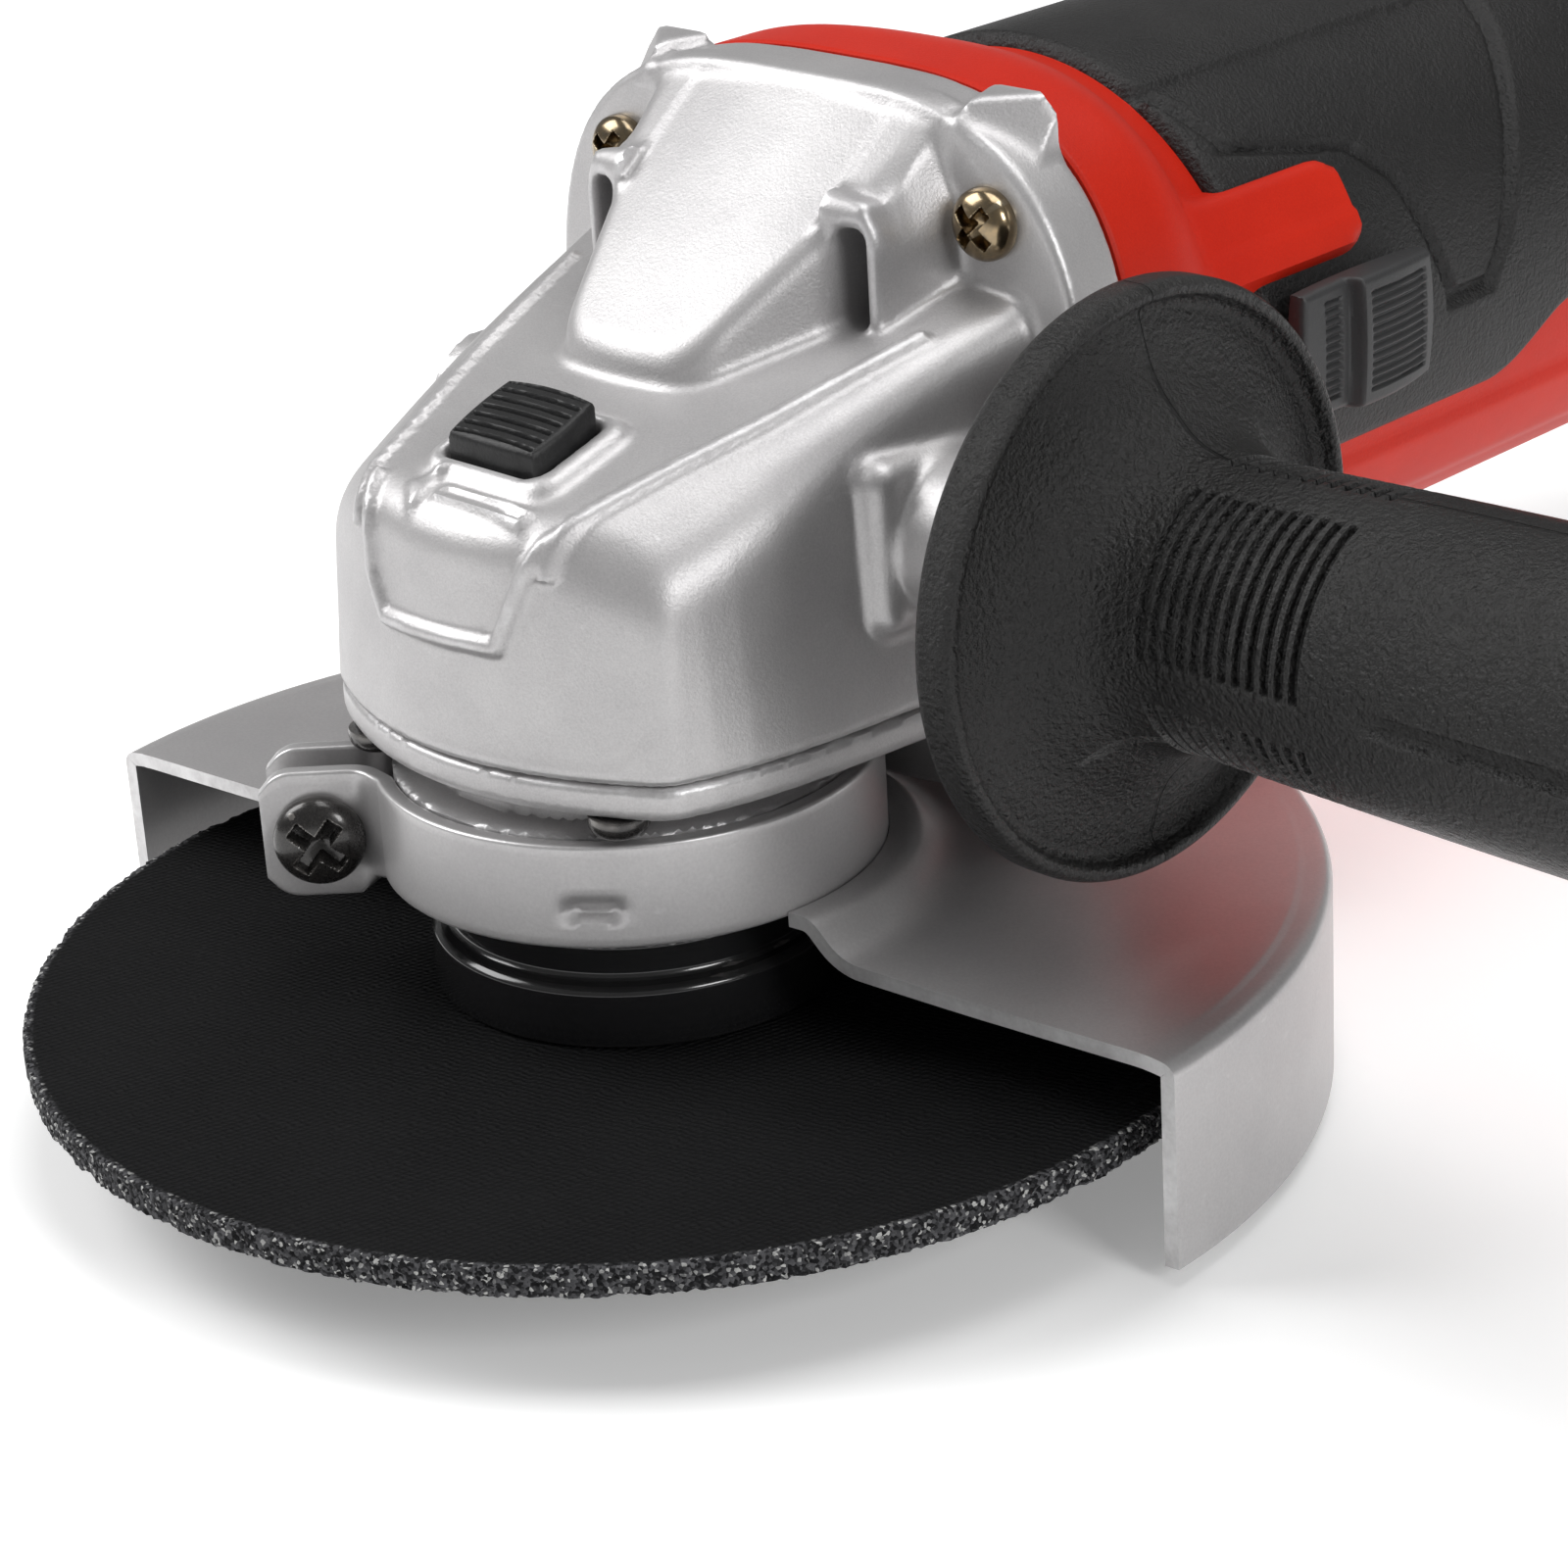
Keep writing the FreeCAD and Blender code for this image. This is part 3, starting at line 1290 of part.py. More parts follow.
def sub_parts():
    """Every body and stand-alone feature that is a piece of the grinder."""
    return [item for item in doc.Objects
            if item.TypeId == "PartDesign::Body"
            or (item.TypeId == "Part::Feature" and item.getParentGeoFeatureGroup() is None)]


def export_all():
    """Check every object and every piece, then write each piece to its own file."""
    doc.recompute()
    for item in doc.Objects:
        for word in ("Invalid", "Error"):
            if word in item.State:
                raise RuntimeError("%s is %s" % (item.Label, item.State))
    pieces = sub_parts()
    for piece in pieces:
        shape = piece.Shape
        if shape.isNull() or not shape.isValid() or not shape.Solids:
            raise RuntimeError("%s has no valid solid" % piece.Label)
    os.makedirs("parts", exist_ok=True)
    for piece in pieces:
        piece.Shape.exportStep("parts/%s.step" % piece.Label)
    print("%d pieces written" % len(pieces))


build_disc_group()
build_spindle()
build_crown_gear()
build_pinion()
build_bearing_cover()
build_gear_housing()
build_spindle_lock()
build_guard()
build_side_handle()
build_armature()
build_stator()
build_motor_housing()
build_switch()
build_rear()
export_all()
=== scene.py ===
"""The looks of a 125 mm angle grinder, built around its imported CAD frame.

Every size in this file is in millimetres, as on a maker's drawing, in the frame of the CAD parts:
the origin is the spindle axis at the disc's seat, +Y runs back along the motor and +X out along
the side handle. Body.put() turns millimetres into metres as it makes a mesh.
"""
import logging
import math
from collections.abc import Callable, Sequence
from dataclasses import dataclass
from enum import Enum

import bmesh
import bpy
import numpy as np
from mathutils import Matrix, Vector


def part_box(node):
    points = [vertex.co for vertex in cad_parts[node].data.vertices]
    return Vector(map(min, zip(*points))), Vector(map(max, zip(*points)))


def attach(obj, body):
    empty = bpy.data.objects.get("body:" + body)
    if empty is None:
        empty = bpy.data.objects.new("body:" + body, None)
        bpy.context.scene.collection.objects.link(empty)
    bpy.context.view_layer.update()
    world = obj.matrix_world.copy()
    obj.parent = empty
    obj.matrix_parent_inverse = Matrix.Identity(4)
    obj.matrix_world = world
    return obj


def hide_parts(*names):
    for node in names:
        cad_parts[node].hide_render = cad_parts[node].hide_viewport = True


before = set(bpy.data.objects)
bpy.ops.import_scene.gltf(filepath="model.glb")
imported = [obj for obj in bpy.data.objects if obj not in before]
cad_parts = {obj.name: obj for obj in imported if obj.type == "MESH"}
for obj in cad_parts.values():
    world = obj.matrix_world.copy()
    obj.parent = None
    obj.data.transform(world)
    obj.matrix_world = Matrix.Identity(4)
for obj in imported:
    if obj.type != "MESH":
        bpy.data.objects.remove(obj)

Array = np.ndarray
Colour = tuple[float, float, float]
Outline = tuple[tuple[float, float], ...]
MM = 0.001
TURN = 2.0 * math.pi
log = logging.getLogger("grinder")


# ------------------------------------------------------------------ measuring the frame

def span(node: str, axis: int) -> tuple[float, float]:
    """Low and high ends of a CAD node along one axis.

    Args:
        node: the CAD node's name.
        axis: 0, 1 or 2 for X, Y or Z.

    Returns:
        The two ends, in millimetres.
    """
    low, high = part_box(node)
    return low[axis] / MM, high[axis] / MM


DISC_RADIUS = span("grinding_disc", 0)[1]
DISC_BOTTOM = span("grinding_disc", 2)[0]
HOUSING_FRONT, FLANGE_BACK = span("gear_housing", 1)
FLANGE_HALF = span("gear_housing", 0)[1]
FLANGE_TOP = span("gear_housing", 2)[1]
RING_POWER = 3.1
DECK_HEIGHT = 60.0
DECK_SLOPE = 0.29
MOTOR_AXIS = FLANGE_TOP - FLANGE_HALF
COVER_TOP = span("bearing_cover", 2)[1]
HANDLE_Y = sum(span("side_handle_grip", 1)) / 2
HANDLE_Z = sum(span("side_handle_grip", 2)) / 2


# ------------------------------------------------------------------ meshes

@dataclass
class Skin:
    """A mesh on its way: points in millimetres, and arrays of quads or triangles."""

    points: Array
    faces: list[Array]

    def placed(self, matrix: Matrix) -> "Skin":
        """The same skin after a rigid move given as a 4x4 matrix in millimetres."""
        m = np.array(matrix)
        return Skin(self.points @ m[:3, :3].T + m[:3, 3], self.faces)


def joined(skins: Sequence[Skin]) -> Skin:
    """Several skins as one, without welding them.

    Args:
        skins: the skins, in order.

    Returns:
        One skin that holds them all.
    """
    starts = np.cumsum([0] + [len(s.points) for s in skins])
    faces = [f + start for s, start in zip(skins, starts) for f in s.faces]
    return Skin(np.vstack([s.points for s in skins]), faces)


def welded(skin: Skin, step: float = 1e-4) -> Skin:
    """Merges points that coincide, drops collapsed faces and turns a closed skin outwards.

    Points are rounded to a fine step and the equal ones share an index. A quad with two equal
    corners becomes a triangle. The signed volume, the sum of a . (b x c) over the triangles, is
    negative when the faces point inwards, and then every face is reversed.

    Args:
        skin: the skin to clean.
        step: points closer than this are one point.

    Returns:
        The clean skin.
    """
    keys = np.round(skin.points / step).astype(np.int64)
    _, first, index = np.unique(keys, axis=0, return_index=True, return_inverse=True)
    index = index.reshape(-1)
    points = skin.points[first]
    quads, triangles = [], []
    for block in skin.faces:
        f = index[block]
        if f.shape[1] == 3:
            whole = (f[:, 0] != f[:, 1]) & (f[:, 1] != f[:, 2]) & (f[:, 2] != f[:, 0])
            triangles.append(f[whole])
            continue
        same = np.stack([f[:, k] == f[:, (k + 1) % 4] for k in range(4)], 1)
        quads.append(f[same.sum(1) == 0])
        for k in range(4):
            part = f[(same.sum(1) == 1) & same[:, k]]
            triangles.append(np.delete(part, (k + 1) % 4, axis=1))
    faces = [np.vstack(quads)] if quads else []
    if triangles:
        faces.append(np.vstack(triangles))
    volume = 0.0
    for f in faces:
        for k in range(1, f.shape[1] - 1):
            a, b, c = points[f[:, 0]], points[f[:, k]], points[f[:, k + 1]]
            volume += np.einsum("ij,ij->i", a, np.cross(b, c)).sum()
    if volume < 0:
        faces = [f[:, ::-1] for f in faces]
    return Skin(points, [f for f in faces if len(f)])


def grid(points: Array, loop_u: bool = False, loop_v: bool = False) -> Skin:
    """Quads between the points of a (u, v) grid, closed round either way when asked.

    Args:
        points: (rows, columns, 3) places.
        loop_u: True joins the last row to the first.
        loop_v: True joins the last column to the first.

    Returns:
        The quads.
    """
    rows, columns = points.shape[:2]
    index = np.arange(rows * columns).reshape(rows, columns)
    if loop_u:
        index = np.vstack([index, index[:1]])
    if loop_v:
        index = np.hstack([index, index[:, :1]])
    corners = (index[:-1, :-1], index[1:, :-1], index[1:, 1:], index[:-1, 1:])
    return Skin(points.reshape(-1, 3), [np.stack(corners, -1).reshape(-1, 4)])


def fan(ring: Array) -> Skin:
    """A ring of points closed by triangles to its middle.

    Args:
        ring: (n, 3) points in order.

    Returns:
        The triangles; the last point is the middle.
    """
    n = len(ring)
    step = np.arange(n)
    faces = np.stack([np.full(n, n), step, (step + 1) % n], -1)
    return Skin(np.vstack([ring, ring.mean(0)]), [faces])


class Axis(Enum):
    """Which way a turned piece's own axis points: columns are its x, y and axis directions."""

    X = ((0, 1, 0), (0, 0, 1), (1, 0, 0))
    Y = ((0, 0, 1), (1, 0, 0), (0, 1, 0))
    Z = ((1, 0, 0), (0, 1, 0), (0, 0, 1))

    def frame(self) -> Array:
        """The three directions as the columns of a matrix."""
        return np.array(self.value, float).T


def turned(
    profile: Array,
    axis: Axis,
    centre: Sequence[float] = (0, 0, 0),
    count: int = 96,
    shape: Callable[[Array, Array, Array], tuple[Array, Array]] | None = None,
    loop: bool = False,
) -> Skin:
    """A profile of (radius, height) pairs turned about an axis.

    Point (i, j) is radius_i (cos a_j, sin a_j) across the axis and height_i along it. shape may
    first change radius and height as a function of radius, height and angle, all whole arrays.

    Args:
        profile: (n, 2) radius and height, from pole to pole for a closed piece.
        axis: where the axis points.
        centre: the origin of the profile's heights.
        count: points round the axis.
        shape: returns the new radius and height arrays.
        loop: True joins the profile's end to its start, for a ring.

    Returns:
        The closed, welded skin.
    """
    angle = np.arange(count) * TURN / count
    r, h, a = np.broadcast_arrays(profile[:, :1], profile[:, 1:2], angle[None, :])
    if shape:
        r, h = shape(r, h, a)
    local = np.stack([r * np.cos(a), r * np.sin(a), h], -1)
    return welded(grid(local @ axis.frame().T + np.array(centre, float), loop, True))


def rounded(corners: Sequence[Sequence[float]], steps: int = 5, closed: bool = False) -> Array:
    """A line through corner points whose corners are turned into short arcs.

    Each corner is (a, b) or (a, b, radius). The arc is the quadratic Bezier curve from one
    tangent point to the other with the corner as its control point; the tangent points lie the
    radius away from the corner, or 0.45 of the shorter side where that is less.

    Args:
        corners: the corner points.
        steps: points on each arc.
        closed: True rounds the first and last corner too.

    Returns:
        (n, 2) points.
    """
    xy = np.array([c[:2] for c in corners], float)
    radius = [c[2] if len(c) > 2 else 0.0 for c in corners]
    out = []
    for k, corner in enumerate(xy):
        ends = not closed and k in (0, len(xy) - 1)
        if ends or radius[k] == 0:
            out.append(corner[None])
            continue
        before, after = xy[k - 1] - corner, xy[(k + 1) % len(xy)] - corner
        la, lb = np.linalg.norm(before), np.linalg.norm(after)
        reach = min(radius[k], 0.45 * la, 0.45 * lb)
        p, q = corner + before / la * reach, corner + after / lb * reach
        s = np.linspace(0, 1, steps)[:, None]
        out.append((1 - s) ** 2 * p + 2 * s * (1 - s) * corner + s**2 * q)
    return np.vstack(out)


def resampled(line: Array, gap: float) -> Array:
    """Adds points along a line of points so that no two are farther apart than gap.

    Args:
        line: (n, 2) points.
        gap: the widest gap allowed, in millimetres.

    Returns:
        The line with the added points in place.
    """
    pieces = [line[:1]]
    for a, b in zip(line[:-1], line[1:]):
        n = max(1, math.ceil(np.linalg.norm(b - a) / gap))
        pieces.append(a + (b - a) * (np.arange(1, n + 1) / n)[:, None])
    return np.vstack(pieces)


def swept(sections: Array, caps: bool = True, loop: bool = False) -> Skin:
    """A closed outline carried along a path: sections[i, j] is point j of outline i.

    Args:
        sections: (n, m, 3) points.
        caps: True closes both ends with fans.
        loop: True joins the last outline to the first, for a ring.

    Returns:
        The closed, welded skin.
    """
    skins = [grid(sections, loop, True)]
    if caps and not loop:
        skins += [fan(sections[0]), fan(sections[-1][::-1])]
    return turned_out(welded(joined(skins)))


def turned_out(skin: Skin) -> Skin:
    """The skin with every face made to agree with its neighbours and point outwards.

    Args:
        skin: a closed skin.

    Returns:
        The same points with their faces in order.
    """
    made = bmesh.new()
    mesh = bpy.data.meshes.new("turned_out")
    mesh.from_pydata(skin.points, [], [tuple(q) for f in skin.faces for q in f.tolist()])
    made.from_mesh(mesh)
    bmesh.ops.recalc_face_normals(made, faces=made.faces)
    made.to_mesh(mesh)
    made.free()
    corners = np.zeros(len(mesh.loops), np.int64)
    mesh.loops.foreach_get("vertex_index", corners)
    total = np.zeros(len(mesh.polygons), np.int64)
    mesh.polygons.foreach_get("loop_total", total)
    start = np.concatenate([[0], np.cumsum(total)[:-1]])
    faces = [corners[start[total == n][:, None] + np.arange(n)] for n in sorted(set(total))]
    points = skin.points
    bpy.data.meshes.remove(mesh)
    return Skin(points, faces)


def pillow(
    half: tuple[float, float],
    roundness: float,
    counts: tuple[int, int],
    top: Callable[[Array, Array], Array],
    base: float,
    edge: float,
) -> Skin:
    """A pad with a shaped top: a square grid bent to a rounded outline, with walls below it.

    With u and v from -1 to 1, x = a u sqrt(1 - c v^2) and y = b v sqrt(1 - c u^2), so c = 0 gives
    a rectangle and c = 0.5 an ellipse. The rim rolls down over the last edge of the outline as a
    quarter circle, and the wall drops from there to the base and is closed by a fan.

    Args:
        half: the outline's half sizes a and b.
        roundness: c, from 0 to 0.5.
        counts: points along u and v.
        top: height of the top as a function of x and y.
        base: height of the flat underside.
        edge: radius of the rolled rim.

    Returns:
        The closed skin, upright on Z.
    """
    u, v = np.meshgrid(np.linspace(-1, 1, counts[0]), np.linspace(-1, 1, counts[1]), indexing="ij")
    x = half[0] * u * np.sqrt(1 - roundness * v**2)
    y = half[1] * v * np.sqrt(1 - roundness * u**2)
    inside = np.minimum(half[0] * (1 - np.abs(u)), half[1] * (1 - np.abs(v)))
    lack = np.clip(edge - inside, 0, edge)
    z = top(x, y) - (edge - np.sqrt(edge**2 - lack**2))
    face = grid(np.stack([x, y, z], -1))
    ring = np.concatenate([np.stack(p, -1) for p in (
        (x[:-1, 0], y[:-1, 0], z[:-1, 0]),
        (x[-1, :-1], y[-1, :-1], z[-1, :-1]),
        (x[:0:-1, -1], y[:0:-1, -1], z[:0:-1, -1]),
        (x[0, :0:-1], y[0, :0:-1], z[0, :0:-1]),
    )])
    foot = ring * (1, 1, 0) + (0, 0, base)
    return turned_out(welded(joined([face, grid(np.stack([ring, foot]), False, True), fan(foot)])))


def softened(node: str, width: float, angle: float = 35.0) -> bpy.types.Object:
    """A copy of a CAD node with its loose triangles merged, flats made whole and edges broken.

    Args:
        node: the CAD node to copy.
        width: how far the edge break reaches from each edge, in millimetres.
        angle: only edges sharper than this many degrees are broken.

    Returns:
        A new object that carries a live Bevel modifier.
    """
    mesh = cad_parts[node].data.copy()
    mesh.name = node
    work = bmesh.new()
    work.from_mesh(mesh)
    bmesh.ops.remove_doubles(work, verts=work.verts, dist=0.004 * MM)
    bmesh.ops.dissolve_limit(
        work, angle_limit=math.radians(0.3), verts=work.verts, edges=work.edges
    )
    work.to_mesh(mesh)
    work.free()
    mesh.materials.clear()
    piece = bpy.data.objects.new(node + "_finished", mesh)
    bevel = piece.modifiers.new("broken_edges", "BEVEL")
    bevel.width = width * MM
    bevel.segments = 2
    bevel.limit_method = "ANGLE"
    bevel.angle_limit = math.radians(angle)
    bevel.harden_normals = False
    mesh.shade_smooth()
    mesh.set_sharp_from_angle(angle=math.radians(angle))
    return piece


class Assembly:
    """A group of pieces that a person would take off the grinder together."""

    body = "housing"

    def put(
        self,
        name: str,
        shape: Skin | bpy.types.Object,
        finish: "Finish",
        replaces: Sequence[str] = (),
        slot: str | None = None,
        body: str | None = None,
        sharp: float = 32.0,
    ) -> bpy.types.Object:
        """Makes the object, dresses it, seats it on its body and reports it.

        Args:
            name: the piece's name.
            shape: a skin in millimetres, or an object already made.
            finish: the finish that it wears.
            replaces: CAD nodes that it stands for.
            slot: not used.
            body: the CAD body it rides on, the assembly's own if not given.
            sharp: edges sharper than this many degrees stay crisp in shading.

        Returns:
            The object.
        """
        if isinstance(shape, Skin):
            mesh = bpy.data.meshes.new(name)
            sizes = np.concatenate([np.full(len(f), f.shape[1]) for f in shape.faces])
            corners = np.concatenate([f.reshape(-1) for f in shape.faces])
            mesh.vertices.add(len(shape.points))
            mesh.vertices.foreach_set("co", (shape.points * MM).astype(np.float32).ravel())
            mesh.loops.add(len(corners))
            mesh.loops.foreach_set("vertex_index", corners.astype(np.int32))
            mesh.polygons.add(len(sizes))
            starts = np.concatenate([[0], np.cumsum(sizes)[:-1]]).astype(np.int32)
            mesh.polygons.foreach_set("loop_start", starts)
            mesh.update(calc_edges=True)
            mesh.validate()
            mesh.shade_smooth()
            mesh.set_sharp_from_angle(angle=math.radians(sharp))
            piece = bpy.data.objects.new(name, mesh)
        else:
            piece = shape
            piece.name = name
        bpy.context.scene.collection.objects.link(piece)
        piece.data.materials.append(finish.material())
        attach(piece, body or self.body)
        if replaces:
            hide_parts(*replaces)
        log.info("%s: %d faces", name, len(piece.data.polygons))
        return piece


# ------------------------------------------------------------------ shader effects shared by finishes

class Wiring:
    """A small helper that adds nodes to a tree and joins them."""

    def __init__(self, tree: bpy.types.NodeTree) -> None:
        """Keeps the tree that nodes go into."""
        self.tree = tree

    def node(self, kind: str, values: dict | None = None, **settings: object) -> bpy.types.Node:
        """Adds a node.

        Args:
            kind: the node's type name without the ShaderNode prefix.
            values: input names or numbers with a plain value or a socket to join.
            settings: attributes of the node itself.

        Returns:
            The node.
        """
        made = self.tree.nodes.new("ShaderNode" + kind)
        for key, value in settings.items():
            setattr(made, key, value)
        for key, value in (values or {}).items():
            if isinstance(value, bpy.types.NodeSocket):
                self.tree.links.new(value, made.inputs[key])
            else:
                made.inputs[key].default_value = value
        return made

    def math(self, operation: str, *values: float | bpy.types.NodeSocket) -> bpy.types.NodeSocket:
        """One Math node's result for these operands."""
        return self.node("Math", dict(enumerate(values)), operation=operation).outputs[0]

    def ramp(self, value: bpy.types.NodeSocket, low: float, high: float) -> bpy.types.NodeSocket:
        """A value stretched so that low gives 0 and high gives 1, and held there outside."""
        made = self.node("MapRange", {"Value": value, "From Min": low, "From Max": high})
        return made.outputs["Result"]

    def tint(
        self, amount: bpy.types.NodeSocket, low: object, high: object
    ) -> bpy.types.NodeSocket:
        """A colour between two, by an amount from 0 to 1.

        Args:
            amount: the mix, from 0 to 1.
            low: the colour or socket at 0.
            high: the colour or socket at 1.

        Returns:
            The mixed colour's socket.
        """
        made = self.tree.nodes.new("ShaderNodeMix")
        made.data_type = "RGBA"
        self.tree.links.new(amount, made.inputs["Factor"])
        for socket, value in ((made.inputs[6], low), (made.inputs[7], high)):
            if isinstance(value, bpy.types.NodeSocket):
                self.tree.links.new(value, socket)
            else:
                socket.default_value = (*value, 1.0)
        return made.outputs[2]

    def noise(
        self, place: bpy.types.NodeSocket, scale: object, detail: float, rough: float = 0.55
    ) -> bpy.types.NodeSocket:
        """Fractal noise from 0 to 1 at a place."""
        values = {"Vector": place, "Scale": scale, "Detail": detail, "Roughness": rough}
        return self.node("TexNoise", values).outputs["Fac"]


def effect(
    name: str,
    inputs: dict[str, tuple[str, float | None]],
    outputs: Sequence[str],
    wire: Callable[[Wiring, bpy.types.Node], Sequence[bpy.types.NodeSocket]],
) -> bpy.types.NodeTree:
    """A shader node group, built once however many finishes use it.

    Args:
        name: the group's name.
        inputs: socket names with their type and default value.
        outputs: names of the values that it gives out.
        wire: fills the group and returns the sockets for its outputs.

    Returns:
        The node group.
    """
    if name in bpy.data.node_groups:
        return bpy.data.node_groups[name]
    tree = bpy.data.node_groups.new(name, "ShaderNodeTree")
    for label, (kind, default) in inputs.items():
        socket = tree.interface.new_socket(label, in_out="INPUT", socket_type="NodeSocket" + kind)
        if default is not None:
            socket.default_value = default
    for label in outputs:
        tree.interface.new_socket(label, in_out="OUTPUT", socket_type="NodeSocketFloat")
    wiring = Wiring(tree)
    entry, leave = tree.nodes.new("NodeGroupInput"), tree.nodes.new("NodeGroupOutput")
    for socket, target in zip(wire(wiring, entry), leave.inputs):
        tree.links.new(socket, target)
    return tree


def pebble_grain() -> bpy.types.NodeTree:
    """Fine pebbles with a coarser unevenness under them: spark-eroded or blasted surfaces."""

    def wire(w: Wiring, entry: bpy.types.Node) -> list[bpy.types.NodeSocket]:
        """Fills the group.

        Args:
            w: the helper that fills the group.
            entry: the group's inputs.

        Returns:
            The sockets for the group's outputs.
        """
        place, scale = entry.outputs["Place"], entry.outputs["Scale"]
        cells = w.node("TexVoronoi", {"Vector": place, "Scale": scale}, feature="SMOOTH_F1")
        fine = w.noise(place, w.math("MULTIPLY", scale, 1.7), 3.0, 0.6)
        broad = w.noise(place, w.math("MULTIPLY", scale, 0.18), 2.0)
        height = w.math("ADD", w.math("MULTIPLY", cells.outputs["Distance"], 0.6), fine)
        return [w.math("ADD", height, w.math("MULTIPLY", broad, 0.5)), fine]

    return effect(
        "pebble_grain", {"Place": ("Vector", None), "Scale": ("Float", 1000.0)}, ["Height", "Fine"], wire
    )


def edge_wear() -> bpy.types.NodeTree:
    """Where an edge stands out it is rubbed, in patches: Mask is 1 on the most rubbed edges."""

    def wire(w: Wiring, entry: bpy.types.Node) -> list[bpy.types.NodeSocket]:
        """Fills the group.

        Args:
            w: the helper that fills the group.
            entry: the group's inputs.

        Returns:
            The sockets for the group's outputs.
        """
        point = w.node("NewGeometry").outputs["Pointiness"]
        patches = w.noise(entry.outputs["Place"], entry.outputs["Scale"], 4.0, 0.65)
        edge = w.ramp(point, 0.515, 0.56)
        raised = w.math("MULTIPLY", edge, w.ramp(patches, 0.35, 0.62))
        return [w.math("MULTIPLY", raised, entry.outputs["Amount"])]

    sockets = {"Place": ("Vector", None), "Scale": ("Float", 200.0), "Amount": ("Float", 0.5)}
    return effect("edge_wear", sockets, ["Mask"], wire)


def settled_dust() -> bpy.types.NodeTree:
    """Dust that lies on upward faces, in soft clouds: Mask is 1 where it is thickest."""

    def wire(w: Wiring, entry: bpy.types.Node) -> list[bpy.types.NodeSocket]:
        """Fills the group.

        Args:
            w: the helper that fills the group.
            entry: the group's inputs.

        Returns:
            The sockets for the group's outputs.
        """
        up = w.node("SeparateXYZ", {0: w.node("NewGeometry").outputs["Normal"]}).outputs["Z"]
        clouds = w.noise(entry.outputs["Place"], entry.outputs["Scale"], 6.0, 0.7)
        lying = w.math("MULTIPLY", w.ramp(up, 0.1, 0.95), w.ramp(clouds, 0.42, 0.72))
        return [w.math("MULTIPLY", lying, entry.outputs["Amount"])]

    sockets = {"Place": ("Vector", None), "Scale": ("Float", 60.0), "Amount": ("Float", 0.2)}
    return effect("settled_dust", sockets, ["Mask"], wire)


def fine_scratches() -> bpy.types.NodeTree:
    """Thin scratches in two directions: noise stretched along each and cut to its crests."""

    def wire(w: Wiring, entry: bpy.types.Node) -> list[bpy.types.NodeSocket]:
        """Fills the group.

        Args:
            w: the helper that fills the group.
            entry: the group's inputs.

        Returns:
            The sockets for the group's outputs.
        """
        lines = []
        for turn, stretch in ((0.4, (9.0, 0.35, 9.0)), (-0.9, (0.3, 8.0, 8.0))):
            laid = w.node(
                "Mapping",
                {"Vector": entry.outputs["Place"], "Rotation": (0.3, turn, turn), "Scale": stretch},
            )
            crest = w.noise(laid.outputs[0], entry.outputs["Scale"], 2.0)
            lines.append(w.ramp(crest, 0.70, 0.76))
        return [w.math("MULTIPLY", w.math("MAXIMUM", *lines), entry.outputs["Amount"])]

    sockets = {"Place": ("Vector", None), "Scale": ("Float", 90.0), "Amount": ("Float", 0.3)}
    return effect("fine_scratches", sockets, ["Mask"], wire)


class Pattern(Enum):
    """What a finish shows besides its grain."""

    PLAIN = "plain"
    SEAMED = "a mould seam along the side handle"
    TURNED_Z = "lathe rings about the spindle"
    TURNED_Y = "lathe rings about the motor axis"
    LAMINATED = "edges of stacked sheets along the motor"
    WOUND = "enamelled wire laid side by side"
    FIBRES = "pressed fibres"
    DISC = "resin-bonded grit under a pressed glass weave"


